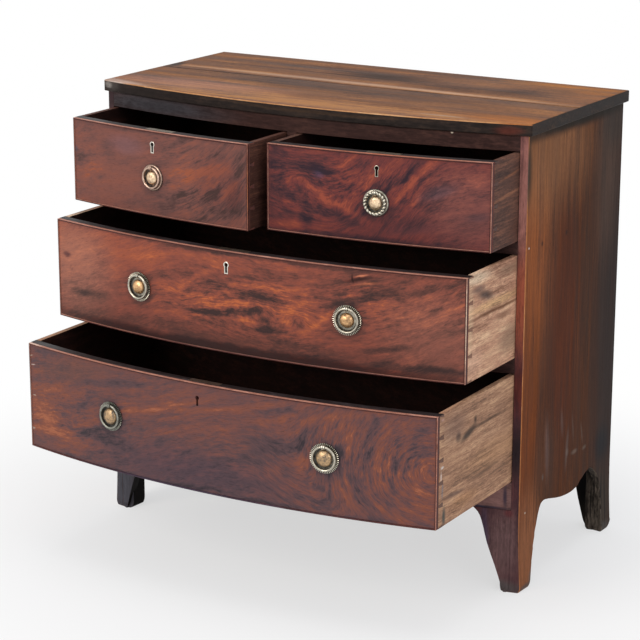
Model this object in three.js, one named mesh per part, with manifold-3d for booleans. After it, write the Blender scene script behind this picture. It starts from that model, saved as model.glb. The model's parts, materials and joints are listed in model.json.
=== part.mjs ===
// A small bow front chest of drawers in mahogany: two short drawers over two long ones, ring handles,
// a lock in every drawer, and bracket feet cut from the sides. The drawers stand open, as they are used.
// Units are millimetres, X runs to the right, Y to the back and Z up. The front corners of the carcass
// lie on y = 0 while the chest is built, and the last lines move the origin under the middle of its box.
import * as THREE from "three";
import { mergeVertices } from "three/addons/utils/BufferGeometryUtils.js";
import Module from "manifold-3d";

const wasm = await Module();
wasm.setup();

// The top.
const topWidth = 930;
const topDepth = 426; // at the ends, where the bow starts
const topThickness = 22;
const topSideOverhang = 7;
const topFrontOverhang = 4;
const topBackOverhang = 9;
const topJointFromFront = 194; // the glue line between the two boards of the top
const topJointWidth = 1.4;
const topJointDepth = 1.6;

// The bow, shared by the top, the rails, the drawers and the front feet.
const bowRise = 55;
const bowStep = 45; // the longest straight stretch that stands for the curve

// The carcass.
const sideThickness = 15;
const footHeight = 163;
const baseRailHeight = 54.5;
const lowerRailHeight = 28.5;
const upperRailHeight = 23;
const topRailHeight = 28.5;
const railDepth = 45; // behind the front corners
const apronThickness = 22;
const dustboardThickness = 12;
const backThickness = 8;
const backInset = 2;
const backBoards = 4;
const backJointWidth = 1.6;
const backJointDepth = 2.4;
const dividerWidth = 20;

// The feet.
const footSplay = 6; // how far a foot stands out at the floor
const splayHeight = 150;
const frontBracketWidth = 71;
const rearBracketWidth = 58;
const rearBracketThickness = 12;
const rearBracketInset = 3;
const frontBlockWidth = 22;
const frontBlockReach = 43; // from the front corners to the back of the block
const rearBlockWidth = 17;
const rearBlockDepth = 26;
const blockHeight = 140;

// The drawers.
const topDrawerHeight = 161;
const middleDrawerHeight = 191.5;
const bottomDrawerHeight = 206;
const drawerSideGap = 1.5;
const drawerTopGap = 2.2;
const drawerRunGap = 0.8;
const drawerBackGap = 8; // free space behind a closed drawer
const frontThickness = 22;
const frontLap = 7; // wood left in front of the dovetails
const drawerSideThickness = 11;
const drawerBackThickness = 10;
const drawerBackDrop = 12; // how far the back stays below the sides
const drawerBottomThickness = 7;
const drawerBottomRise = 9; // wood left below the groove for the bottom
const grooveDepth = 4;
const tailPitch = 45;
const pinTip = 4; // a pin between two tails, at its narrow end
const tailSlope = 1 / 6;
const beadWidth = 3;
const beadProud = 1.6;
const beadDepth = 5;
const topLeftOpening = 132;
const topRightOpening = 103;
const middleOpening = 190;
const bottomOpening = 290;

// The locks and keyholes.
const lockWidth = 58;
const lockHeight = 46;
const lockDepth = 11;
const lockShift = 8; // the lock sits a little to the right of its keyhole
const selvedgeOverhang = 4; // how far the top plate passes the case at either end
const selvedgeDepth = 14;
const selvedgeThickness = 2.5;
const boltWidth = 18;
const boltThickness = 5;
const boltLength = 15;
const boltTravel = 7;
const boltGap = 0.4;
const boltSink = 0.2; // how far a drawn bolt lies below the plate
const strikeGap = 1.5; // free space round a shot bolt in its mortise
const keyholeRadius = 4;
const keyholeSlotWidth = 4.6;
const keyholeHeight = 19;
const keyholeRecess = 4; // how far the keyhole runs into the lock
const topKeyholeX = 231.5;
const topKeyholeDrop = 31;
const middleKeyholeX = -22;
const middleKeyholeDrop = 31.5;
const bottomKeyholeX = -21;
const bottomKeyholeDrop = 33;

// The ring handles. Heights are measured outwards from the drawer front.
const largeHandle = {
  plateRadius: 27.8,
  rimWidth: 5.6,
  rimHeight: 3.5,
  flangeRadius: 15.6,
  flangeHeight: 3.4,
  domeRadius: 13,
  domeHeight: 10.2,
  ringRadius: 21.7,
  ringTube: 2.3,
  lugRadius: 4.1,
  lugWidth: 6.4,
};
const smallHandle = {
  plateRadius: 24.8,
  rimWidth: 5,
  rimHeight: 3.2,
  flangeRadius: 13.4,
  flangeHeight: 3.2,
  domeRadius: 11.2,
  domeHeight: 9.4,
  ringRadius: 19.2,
  ringTube: 2.3,
  lugRadius: 4.1,
  lugWidth: 6,
};
const ropeHandle = { ...smallHandle, ringTube: 2.9, lugRadius: 4.7 }; // its ring is a thick rope
const plateThickness = 1.2;
const ringRestGap = 0.4; // between the ring and the rim that it hangs against
const ringEyeGap = 0.7; // round the ring where it passes through the lug
const postRadius = 3;
const postGap = 0.4;
const postTail = 7; // how far the post comes out inside the drawer
const topHandleX = 231;
const topHandleRise = 73; // above the bottom edge of its drawer
const middleHandleLeftX = -224;
const middleHandleRightX = 225;
const middleHandleRise = 95;
const bottomHandleLeftX = -222;
const bottomHandleRightX = 238;
const bottomHandleRise = 107;

// Fits.
const glueGap = 0.3; // between pieces that are fixed to each other
const cutOver = 6; // how far a cutting shape runs past what it cuts
const mergeDistance = 0.001;

// Counts.
const plateSides = 24;
const ringSides = 20;
const tubeSides = 8;
const boreSides = 12;
const archSegments = 2;
const splaySteps = 6;
const keyholeSegments = 6;

// What follows from the sizes above.
const carcassHalf = topWidth / 2 - topSideOverhang;
const openingHalf = carcassHalf - sideThickness;
const innerHalf = openingHalf - glueGap;
const carcassDepth = topDepth - topFrontOverhang - topBackOverhang;
const backFace = carcassDepth - backInset - backThickness;
const drawerRear = backFace - drawerBackGap;
const baseRailTop = footHeight + baseRailHeight;
const bottomDrawerBase = baseRailTop + drawerRunGap;
const lowerRailBase = bottomDrawerBase + bottomDrawerHeight + drawerTopGap;
const lowerRailTop = lowerRailBase + lowerRailHeight;
const middleDrawerBase = lowerRailTop + drawerRunGap;
const upperRailBase = middleDrawerBase + middleDrawerHeight + drawerTopGap;
const upperRailTop = upperRailBase + upperRailHeight;
const topDrawerBase = upperRailTop + drawerRunGap;
const topRailBase = topDrawerBase + topDrawerHeight + drawerTopGap;
const carcassTop = topRailBase + topRailHeight;
const chestHeight = carcassTop + topThickness;
const boltReach = boltTravel - drawerTopGap; // how far a shot bolt enters the rail

// Finishes.
const finish = (color, roughness, metalness = 0) =>
  new THREE.MeshStandardMaterial({ color, roughness, metalness });
const wornTop = finish(0x8a5a3c, 0.45);
const sideMahogany = finish(0x6e4128, 0.5);
const darkMahogany = finish(0x3f3234, 0.5);
const flameMahogany = finish(0x8a4432, 0.35);
const beadWood = finish(0xc08a6a, 0.5);
const drawerOak = finish(0xb09070, 0.75);
const carcassPine = finish(0x6b5138, 0.85);
const footMahogany = finish(0x4f3a3e, 0.5);
const ageBrass = finish(0xb09a6a, 0.35, 1);
const lockIron = finish(0x77705f, 0.5, 1);

// A closed geometry as a solid that can be joined and cut.
function solid(geometry) {
  const bare = geometry.index ? geometry.toNonIndexed() : geometry.clone();
  bare.deleteAttribute("normal");
  bare.deleteAttribute("uv");
  const merged = mergeVertices(bare, mergeDistance);
  const vertProperties = merged.attributes.position.array;
  const triVerts = new Uint32Array(merged.index.array);
  return new wasm.Manifold(new wasm.Mesh({ numProp: 3, vertProperties, triVerts }));
}

function joined(solids) {
  return solids.reduce((whole, next) => whole.add(next));
}

function cutBy(body, cuts) {
  return cuts.reduce((left, cut) => left.subtract(cut), body);
}

// A solid as a named mesh.
function piece(name, body, material) {
  const { vertProperties, triVerts } = body.getMesh();
  const geometry = new THREE.BufferGeometry();
  geometry.setAttribute("position", new THREE.BufferAttribute(new Float32Array(vertProperties), 3));
  geometry.setIndex(new THREE.BufferAttribute(new Uint32Array(triVerts), 1));
  geometry.computeVertexNormals();
  const mesh = new THREE.Mesh(geometry, material);
  mesh.name = name;
  return mesh;
}

function shapeOf(points) {
  return new THREE.Shape(points.map(([u, v]) => new THREE.Vector2(u, v)));
}

function extruded(shape, depth, curveSegments) {
  return new THREE.ExtrudeGeometry(shape, { depth, bevelEnabled: false, curveSegments });
}

// Prisms along one axis. The outline lies in the other two, in the order x, y, z.
function prismX(shape, from, to, curveSegments = 1) {
  const geometry = extruded(shape, to - from, curveSegments);
  return geometry.rotateX(Math.PI / 2).rotateZ(Math.PI / 2).translate(from, 0, 0);
}

function prismY(shape, from, to, curveSegments = 1) {
  return extruded(shape, to - from, curveSegments).rotateX(Math.PI / 2).translate(0, to, 0);
}

function prismZ(shape, from, to) {
  return extruded(shape, to - from, 1).translate(0, 0, from);
}

function rectangle(u0, u1, v0, v1) {
  return shapeOf([[u0, v0], [u1, v0], [u1, v1], [u0, v1]]);
}

function board(x0, x1, y0, y1, z0, z1) {
  return prismZ(rectangle(x0, x1, y0, y1), z0, z1);
}

// The radius of an arc that rises over a chord of the given half width.
function arcRadius(half, rise) {
  return (half * half + rise * rise) / (2 * rise);
}

// Where an arc of the given radius lies at x. It stands out by the bow's rise at x = 0, and the offset
// counts inwards from it.
function arcY(radius, x, offset) {
  const inner = radius - offset;
  return radius - bowRise - Math.sqrt(inner * inner - x * x);
}

// Points of such an arc from x0 to x1.
function arcPoints(radius, x0, x1, offset) {
  const steps = Math.ceil(Math.abs(x1 - x0) / bowStep);
  return Array.from({ length: steps + 1 }, (_, i) => {
    const x = x0 + ((x1 - x0) * i) / steps;
    return [x, arcY(radius, x, offset)];
  });
}

// The carcass and the drawers share one bow.
const bowRadius = arcRadius(carcassHalf, bowRise);

function bowY(x, offset = 0) {
  return arcY(bowRadius, x, offset);
}

function bowPoints(x0, x1, offset) {
  return arcPoints(bowRadius, x0, x1, offset);
}

// The angle by which the front face turns at x.
function bowAngle(x) {
  return Math.asin(x / bowRadius);
}

// A curved plank between two offsets of the bow.
function bowedPlank(x0, x1, outer, inner, z0, z1) {
  const outline = [...bowPoints(x0, x1, outer), ...bowPoints(x1, x0, inner)];
  return prismZ(shapeOf(outline), z0, z1);
}

// A slab with a bowed front edge and a straight back edge.
function bowedSlab(x0, x1, offset, back, z0, z1) {
  return prismZ(shapeOf([...bowPoints(x0, x1, offset), [x1, back], [x0, back]]), z0, z1);
}

// A cylinder along X.
function barX(radius, x0, x1, sides) {
  const bar = new THREE.CylinderGeometry(radius, radius, x1 - x0, sides);
  return bar.rotateZ(Math.PI / 2).translate((x0 + x1) / 2, 0, 0);
}

// The place on the bowed front at x and z: local Y runs into the wood, at right angles to the face.
function frontPlace(x, z) {
  const turn = new THREE.Matrix4().makeRotationZ(bowAngle(x));
  return new THREE.Matrix4().makeTranslation(x, bowY(x), z).multiply(turn);
}

// The keyhole, as an outline about its own middle: a round top and a slot below it.
function keyholeShape() {
  const half = keyholeSlotWidth / 2;
  const top = keyholeHeight / 2;
  const slotAngle = Math.asin(half / keyholeRadius); // from straight down to the slot's corner
  const shape = new THREE.Shape();
  shape.moveTo(-half, -top);
  shape.lineTo(half, -top);
  const from = slotAngle - Math.PI / 2;
  const to = 2 * Math.PI - slotAngle - Math.PI / 2;
  shape.absarc(0, top - keyholeRadius, keyholeRadius, from, to, false);
  return shape;
}

// The boards that make a lock's case and the plate along its top, in the front's own place: the origin
// lies on the face, at the drawer's top edge. Grown, and run out at the back and the top, they make the
// cut that takes them.
function lockBoards(grow, over) {
  const left = lockShift - lockWidth / 2 - grow;
  const right = lockShift + lockWidth / 2 + grow;
  const caseFront = frontThickness - lockDepth - grow;
  const plateLeft = left - selvedgeOverhang;
  const plateRight = right + selvedgeOverhang;
  const plateFront = frontThickness - selvedgeDepth - grow;
  const rear = frontThickness + over;
  return [
    board(left, right, caseFront, rear, -lockHeight - grow, over),
    board(plateLeft, plateRight, plateFront, rear, -selvedgeThickness - grow, over),
  ];
}

// The space of the bolt between two heights, in the same place.
function boltSpace(grow, z0, z1) {
  const middle = frontThickness - lockDepth / 2;
  const half = boltWidth / 2 + grow;
  const deep = boltThickness / 2 + grow;
  return board(lockShift - half, lockShift + half, middle - deep, middle + deep, z0, z1);
}

// The mortise that a shot bolt enters, cut upwards from the underside of a rail.
function strike(x, railBase) {
  const space = boltSpace(strikeGap, -cutOver, boltReach + strikeGap);
  return solid(space.applyMatrix4(frontPlace(x, railBase)));
}

// The top: two boards glued edge to edge, with the glue line slightly open.
function makeTop() {
  const half = topWidth / 2;
  const bow = arcPoints(arcRadius(half, bowRise), -half, half, 0);
  const outline = shapeOf([...bow, [half, topDepth], [-half, topDepth]]);
  const slab = prismZ(outline, carcassTop, chestHeight).translate(0, -topFrontOverhang, 0);
  const jointFront = topJointFromFront - topJointWidth / 2;
  const jointBase = chestHeight - topJointDepth;
  const section = rectangle(jointFront, jointFront + topJointWidth, jointBase, chestHeight + cutOver);
  const groove = prismX(section, -half - cutOver, half + cutOver);
  return piece("top_board", solid(slab).subtract(solid(groove)), wornTop);
}

// The arch under a side, from the back of the front foot to the front of the rear foot. The first
// share is of the carcass depth and the second of the foot height.
const archShares = [
  [0.109, 0],
  [0.124, 0.166],
  [0.15, 0.46],
  [0.186, 0.736],
  [0.218, 0.896],
  [0.252, 0.933],
  [0.286, 0.922],
  [0.344, 0.883],
  [0.436, 0.828],
  [0.538, 0.798],
  [0.605, 0.81],
  [0.659, 0.865],
  [0.712, 0.926],
  [0.77, 0.945],
  [0.823, 0.859],
  [0.864, 0.74],
  [0.886, 0.54],
  [0.896, 0.245],
  [0.901, 0],
];
const rearToeShare = 0.98; // the back of the rear foot, where its corner is worn round
const toeRiseShare = 0.08;

// One side board: it carries the feet at its lower end, and they stand out a little at the floor.
function makeSide(name, hand) {
  const arch = archShares.map(([u, v]) => new THREE.Vector2(u * carcassDepth, v * footHeight));
  const profile = new THREE.Shape();
  profile.moveTo(-bowRise, carcassTop - glueGap);
  profile.lineTo(-bowRise, 0);
  profile.lineTo(arch[0].x, 0);
  profile.splineThru(arch.slice(1));
  profile.lineTo(rearToeShare * carcassDepth, 0);
  profile.lineTo(carcassDepth, toeRiseShare * footHeight);
  profile.lineTo(carcassDepth, carcassTop - glueGap);
  const outer = carcassHalf + footSplay;
  const rear = carcassDepth + cutOver;
  const splay = Array.from({ length: splaySteps + 1 }, (_, i) => {
    const up = i / splaySteps;
    return [carcassHalf + footSplay * (1 - up) ** 2, up * splayHeight];
  });
  const head = [[carcassHalf, carcassTop], [openingHalf, carcassTop]];
  const section = shapeOf([[openingHalf, 0], ...splay, ...head]);
  const side = solid(prismX(profile, openingHalf, outer, archSegments))
    .intersect(solid(prismY(section, -bowRise, rear)))
    .intersect(solid(bowedSlab(openingHalf - cutOver, outer + cutOver, 0, rear, 0, carcassTop)));
  const mesh = piece(name, side, sideMahogany);
  return hand > 0 ? mesh : mirrored(mesh);
}

// The same piece for the other side of the chest: its points are mirrored and its faces turned back.
function mirrored(mesh) {
  mesh.geometry.scale(-1, 1, 1);
  const index = mesh.geometry.index;
  for (let i = 0; i < index.count; i += 3) {
    const second = index.getX(i + 1);
    index.setX(i + 1, index.getX(i + 2));
    index.setX(i + 2, second);
  }
  mesh.geometry.computeVertexNormals();
  return mesh;
}

// A rail between or above drawers, with the mortises for the bolts of the drawers below it.
function makeRail(name, z0, z1, boltPlaces) {
  const rail = solid(bowedSlab(-innerHalf, innerHalf, 0, railDepth, z0, z1));
  const mortises = boltPlaces.map((x) => strike(x, z0));
  return piece(name, cutBy(rail, mortises), darkMahogany);
}

// The rail under the bottom drawer, with the bowed apron that the front feet stand below.
function makeBaseRail() {
  const railBase = baseRailTop - upperRailHeight;
  const rail = solid(bowedSlab(-innerHalf, innerHalf, 0, railDepth, railBase, baseRailTop));
  const apron = solid(bowedPlank(-innerHalf, innerHalf, 0, apronThickness, footHeight, baseRailTop));
  return piece("base_rail", rail.add(apron), footMahogany);
}

// A dustboard closes the space between two drawers, and the drawer above runs on it.
function makeDustboard(name, top) {
  const front = railDepth + glueGap;
  const rear = backFace - glueGap;
  const body = solid(board(-innerHalf, innerHalf, front, rear, top - dustboardThickness, top));
  return piece(name, body, carcassPine);
}

// The back: upright boards, joined edge to edge with open joints on the outside.
function makeBack() {
  const rear = backFace + backThickness;
  const whole = solid(board(-innerHalf, innerHalf, backFace, rear, footHeight, carcassTop - glueGap));
  const pitch = (2 * innerHalf) / backBoards;
  const groove = rectangle(-backJointWidth / 2, backJointWidth / 2, rear - backJointDepth, rear + cutOver);
  const joints = Array.from({ length: backBoards - 1 }, (_, i) => {
    const x = pitch * (i + 1) - innerHalf;
    return solid(prismZ(groove, footHeight - cutOver, carcassTop).translate(x, 0, 0));
  });
  return piece("back_board", cutBy(whole, joints), carcassPine);
}

// The upright between the two short drawers, from the front to the back.
function makeDivider() {
  const half = dividerWidth / 2;
  const z0 = upperRailTop + glueGap;
  const z1 = topRailBase - glueGap;
  const body = solid(bowedSlab(-half, half, 0, backFace - glueGap, z0, z1));
  return piece("drawer_divider", body, darkMahogany);
}

// A bracket's inner edge, from the floor to its top: shares of its width and of the foot height.
const frontBracketShares = [
  [0.14, 0],
  [0.18, 0.03],
  [0.36, 0.276],
  [0.61, 0.583],
  [0.74, 0.816],
  [0.845, 0.933],
  [1, 1],
];
const rearBracketShares = [
  [0.52, 0],
  [0.86, 0.45],
  [0.95, 0.75],
  [1, 1],
];

function bracketShape(shares, width) {
  const edge = shares.map(([u, v]) => new THREE.Vector2(innerHalf - u * width, v * (footHeight - glueGap)));
  const shape = new THREE.Shape();
  shape.moveTo(innerHalf, 0);
  shape.lineTo(edge[0].x, 0);
  shape.splineThru(edge.slice(1));
  shape.lineTo(innerHalf, footHeight - glueGap);
  return shape;
}

// A front foot: a bowed bracket under the apron, with a block glued behind it in the corner.
function makeFrontFoot(name, hand) {
  const reach = innerHalf - frontBracketWidth - cutOver;
  const curved = solid(bowedPlank(reach, innerHalf, 0, apronThickness, 0, footHeight));
  const bracket = bracketShape(frontBracketShares, frontBracketWidth);
  const outline = prismY(bracket, -bowRise, railDepth + cutOver, archSegments);
  const blockLeft = innerHalf - frontBlockWidth;
  const blockFront = bowY(blockLeft) + apronThickness / 2;
  const block = solid(board(blockLeft, innerHalf, blockFront, frontBlockReach, 0, blockHeight));
  const mesh = piece(name, curved.intersect(solid(outline)).add(block), footMahogany);
  return hand > 0 ? mesh : mirrored(mesh);
}

// A rear foot: a flat bracket inside the back edge of the side, and its block.
function makeRearFoot(name, hand) {
  const rear = carcassDepth - rearBracketInset;
  const front = rear - rearBracketThickness;
  const outline = bracketShape(rearBracketShares, rearBracketWidth);
  const bracket = solid(prismY(outline, front, rear, archSegments));
  const middle = (front + rear) / 2;
  const blockLeft = innerHalf - rearBlockWidth;
  const block = solid(board(blockLeft, innerHalf, front - rearBlockDepth, middle, 0, blockHeight));
  const mesh = piece(name, bracket.add(block), carcassPine);
  return hand > 0 ? mesh : mirrored(mesh);
}

// A drawer side's outline in y and z, with its dovetails at the front. It can be grown for a cut.
function drawerSideOutline(tip, root, rear, z0, z1, grow) {
  const height = z1 - z0;
  const tails = Math.round(height / tailPitch);
  const pitch = height / tails;
  const tipHalf = (pitch - pinTip) / 2;
  const rootHalf = tipHalf - (root - tip) * tailSlope;
  const points = [[rear, z0 - grow], [rear, z1 + grow], [root - grow, z1 + grow]];
  for (let i = tails - 1; i >= 0; i -= 1) {
    const z = z0 + pitch * (i + 1 / 2);
    points.push([root - grow, z + rootHalf + grow]);
    points.push([tip - grow, z + tipHalf + grow]);
    points.push([tip - grow, z - tipHalf - grow]);
    points.push([root - grow, z - rootHalf - grow]);
  }
  points.push([root - grow, z0 - grow]);
  return shapeOf(points);
}

// A drawer of solid parts, built closed. spec holds its name, its ends, its base and height, its
// keyhole and its handles.
function makeDrawer(spec) {
  const { name, x0, x1, base, height, opening, keyhole, handles } = spec;
  const group = new THREE.Group();
  const z0 = base;
  const z1 = base + height;
  const thickness = drawerSideThickness;

  // The ends: where each side board starts, and how far its tails reach into the front.
  const sides = [
    { end: "left", from: x0, to: x0 + thickness },
    { end: "right", from: x1 - thickness, to: x1 },
  ].map((side) => {
    const edges = [side.from, side.to];
    const tip = Math.max(...edges.map((x) => bowY(x))) + frontLap;
    const root = Math.max(...edges.map((x) => bowY(x, frontThickness)));
    const shape = (grow) => drawerSideOutline(tip, root, drawerRear, z0, z1, grow);
    return { ...side, shape };
  });
  const innerLeft = x0 + thickness;
  const innerRight = x1 - thickness;

  // The bottom lies in grooves in the front and the sides, and runs out under the back.
  const bottomSolid = (grow) =>
    solid(
      bowedSlab(
        innerLeft - grooveDepth - grow,
        innerRight + grooveDepth + grow,
        frontThickness - grooveDepth - grow,
        drawerRear + (grow > 0 ? cutOver : 0),
        z0 + drawerBottomRise - grow,
        z0 + drawerBottomRise + drawerBottomThickness + grow,
      ),
    );
  const bottomCut = bottomSolid(glueGap);

  // The cock bead: a thin frame let into the edges of the front.
  const beadSolid = (grow) => {
    const out = grow > 0 ? cutOver : 0;
    const inset = beadWidth + grow;
    const ring = solid(
      bowedPlank(x0 - out, x1 + out, -beadProud - out, beadDepth + grow, z0 - out, z1 + out),
    );
    const hole = prismY(
      rectangle(x0 + inset, x1 - inset, z0 + inset, z1 - inset),
      -bowRise - beadProud - cutOver - out,
      frontThickness + cutOver,
    );
    return ring.subtract(solid(hole));
  };

  // The front, cut for the bead, the tails, the bottom, the lock, the keyhole and the handle posts.
  const lockPlace = frontPlace(keyhole.x, z1);
  const placed = (geometry) => solid(geometry.applyMatrix4(lockPlace));
  const keyEnd = frontThickness - lockDepth + keyholeRecess;
  const keyPrism = prismY(keyholeShape(), -cutOver, keyEnd, keyholeSegments);
  const keyCut = solid(keyPrism.applyMatrix4(frontPlace(keyhole.x, z1 - keyhole.drop)));
  const tailCuts = sides.map((side) => {
    const from = side.from - glueGap - (side.end === "left" ? cutOver : 0);
    const to = side.to + glueGap + (side.end === "right" ? cutOver : 0);
    return solid(prismX(side.shape(glueGap), from, to));
  });
  const postCuts = handles.map((handle) => {
    const radius = postRadius + postGap;
    const post = new THREE.CylinderGeometry(radius, radius, 2 * (frontThickness + cutOver), boreSides);
    return solid(post.applyMatrix4(frontPlace(handle.x, z0 + handle.rise)));
  });
  const lockCuts = lockBoards(glueGap, cutOver).map(placed);
  const plank = solid(bowedPlank(x0, x1, 0, frontThickness, z0, z1));
  const cuts = [beadSolid(glueGap), bottomCut, keyCut, ...lockCuts, ...tailCuts, ...postCuts];
  group.add(piece(name + "_front", cutBy(plank, cuts), flameMahogany));
  group.add(piece(name + "_cock_bead", beadSolid(0), beadWood));

  for (const side of sides) {
    const body = solid(prismX(side.shape(0), side.from, side.to)).subtract(bottomCut);
    group.add(piece(name + "_side_" + side.end, body, drawerOak));
  }
  group.add(piece(name + "_bottom", bottomSolid(0), drawerOak));
  const backBase = z0 + drawerBottomRise + drawerBottomThickness + glueGap;
  const back = board(
    innerLeft + glueGap,
    innerRight - glueGap,
    drawerRear - drawerBackThickness,
    drawerRear,
    backBase,
    z1 - drawerBackDrop,
  );
  group.add(piece(name + "_back", solid(back), drawerOak));

  // The lock: a case with a plate along the drawer's top edge, and the bolt that a key shoots upwards.
  const boltFoot = -boltLength - boltSink;
  const boltWay = placed(boltSpace(boltGap, boltFoot - boltGap, cutOver));
  const caseBody = cutBy(joined(lockBoards(0, 0).map(placed)), [boltWay, keyCut]);
  group.add(piece(name + "_lock_case", caseBody, lockIron));
  group.add(piece(name + "_lock_bolt", placed(boltSpace(0, boltFoot, -boltSink)), ageBrass));

  handles.forEach((handle) => group.add(makeHandle(name + handle.tag, handle, z0 + handle.rise)));
  group.position.y = -opening;
  return group;
}

// The dome of a handle, from its foot to its top: shares of its radius and of its height.
const domeShares = [
  [0.92, 0.6],
  [0.66, 0.86],
  [0.33, 0.97],
  [0, 1],
];
const flangeEdgeShare = 2 / 3; // the height of the flange at its edge

// The outline of a handle's plate with its post, from the post's end to the top of the dome: distances
// from the middle line, and heights outwards from the drawer front.
function plateOutline(size) {
  const rimInner = size.plateRadius - size.rimWidth;
  const postEnd = -frontThickness - postTail;
  return [
    [0, postEnd],
    [postRadius, postEnd],
    [postRadius, 0],
    [size.plateRadius, 0],
    [size.plateRadius, plateThickness],
    [rimInner + size.rimWidth / 2, size.rimHeight],
    [rimInner, plateThickness],
    [size.flangeRadius, plateThickness],
    [size.flangeRadius, size.flangeHeight * flangeEdgeShare],
    [size.domeRadius, size.flangeHeight],
    ...domeShares.map(([u, v]) => [u * size.domeRadius, v * size.domeHeight]),
  ];
}

// A handle: a round plate with a domed boss, and a ring that hangs in the lug at the plate's top.
function makeHandle(name, { x, size }, z) {
  const { ringRadius, ringTube, lugRadius } = size;
  const out = size.rimHeight + ringRestGap + ringTube;
  const outline = plateOutline(size).map(([radius, height]) => new THREE.Vector2(radius, -height));
  const turned = new THREE.LatheGeometry(outline.reverse(), plateSides);
  const half = size.lugWidth / 2;
  const knuckle = barX(lugRadius, -half, half, boreSides).translate(0, -out, ringRadius);
  const lugTop = ringRadius + lugRadius;
  const stem = board(-half, half, -out, -plateThickness / 2, ringRadius - lugRadius, lugTop);
  const eyeEnd = half + cutOver;
  const eye = barX(ringTube + ringEyeGap, -eyeEnd, eyeEnd, boreSides).translate(0, -out, ringRadius);
  const plate = cutBy(joined([turned, knuckle, stem].map(solid)), [solid(eye)]);

  const section = Array.from({ length: tubeSides + 1 }, (_, i) => {
    const angle = (2 * Math.PI * (i % tubeSides)) / tubeSides;
    return new THREE.Vector2(ringRadius + ringTube * Math.cos(angle), ringTube * Math.sin(angle));
  });
  const loop = new THREE.LatheGeometry(section, ringSides).translate(0, 0, -ringRadius);
  const ring = piece(name + "_ring", solid(loop), ageBrass);
  ring.position.set(0, -out, ringRadius);

  const group = new THREE.Group();
  group.add(piece(name + "_plate", plate, ageBrass));
  group.add(ring);
  frontPlace(x, z).decompose(group.position, group.quaternion, group.scale);
  group.translateY(-glueGap);
  return group;
}

const drawerHalf = openingHalf - drawerSideGap;
const dividerEdge = dividerWidth / 2 + drawerSideGap;
const drawers = [
  {
    name: "top_left_drawer",
    x0: -drawerHalf,
    x1: -dividerEdge,
    base: topDrawerBase,
    height: topDrawerHeight,
    opening: topLeftOpening,
    keyhole: { x: -topKeyholeX, drop: topKeyholeDrop },
    handles: [{ tag: "_handle", x: -topHandleX, rise: topHandleRise, size: smallHandle }],
  },
  {
    name: "top_right_drawer",
    x0: dividerEdge,
    x1: drawerHalf,
    base: topDrawerBase,
    height: topDrawerHeight,
    opening: topRightOpening,
    keyhole: { x: topKeyholeX, drop: topKeyholeDrop },
    handles: [{ tag: "_handle", x: topHandleX, rise: topHandleRise, size: ropeHandle }],
  },
  {
    name: "middle_drawer",
    x0: -drawerHalf,
    x1: drawerHalf,
    base: middleDrawerBase,
    height: middleDrawerHeight,
    opening: middleOpening,
    keyhole: { x: middleKeyholeX, drop: middleKeyholeDrop },
    handles: [
      { tag: "_left_handle", x: middleHandleLeftX, rise: middleHandleRise, size: largeHandle },
      { tag: "_right_handle", x: middleHandleRightX, rise: middleHandleRise, size: largeHandle },
    ],
  },
  {
    name: "bottom_drawer",
    x0: -drawerHalf,
    x1: drawerHalf,
    base: bottomDrawerBase,
    height: bottomDrawerHeight,
    opening: bottomOpening,
    keyhole: { x: bottomKeyholeX, drop: bottomKeyholeDrop },
    handles: [
      { tag: "_left_handle", x: bottomHandleLeftX, rise: bottomHandleRise, size: largeHandle },
      { tag: "_right_handle", x: bottomHandleRightX, rise: bottomHandleRise, size: largeHandle },
    ],
  },
];

const chest = new THREE.Group();
chest.add(
  makeTop(),
  makeSide("side_right", 1),
  makeSide("side_left", -1),
  makeRail("top_rail", topRailBase, carcassTop - glueGap, [-topKeyholeX, topKeyholeX]),
  makeRail("upper_rail", upperRailBase, upperRailTop, [middleKeyholeX]),
  makeRail("lower_rail", lowerRailBase, lowerRailTop, [bottomKeyholeX]),
  makeBaseRail(),
  makeDustboard("upper_dustboard", upperRailTop),
  makeDustboard("lower_dustboard", lowerRailTop),
  makeDustboard("bottom_board", baseRailTop),
  makeBack(),
  makeDivider(),
  makeFrontFoot("front_foot_right", 1),
  makeFrontFoot("front_foot_left", -1),
  makeRearFoot("rear_foot_right", 1),
  makeRearFoot("rear_foot_left", -1),
);
drawers.forEach((spec) => chest.add(makeDrawer(spec)));

// The origin: on the floor, under the middle of the box that holds the chest and its open drawers.
const box = new THREE.Box3().setFromObject(chest, true);
chest.children.forEach((child) => {
  child.position.y -= (box.min.y + box.max.y) / 2;
});

export default chest;
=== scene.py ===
# %% [markdown]
# # A bow front chest of drawers
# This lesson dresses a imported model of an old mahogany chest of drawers. The frame is the CAD model: it
# holds every joint and every size, and nothing in it moves here. We hang finer pieces on its bodies and
# give each surface the finish of the real one.

# %% Load the frame
import json
import math

import bmesh
import bpy
from mathutils import Matrix, Vector

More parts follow.
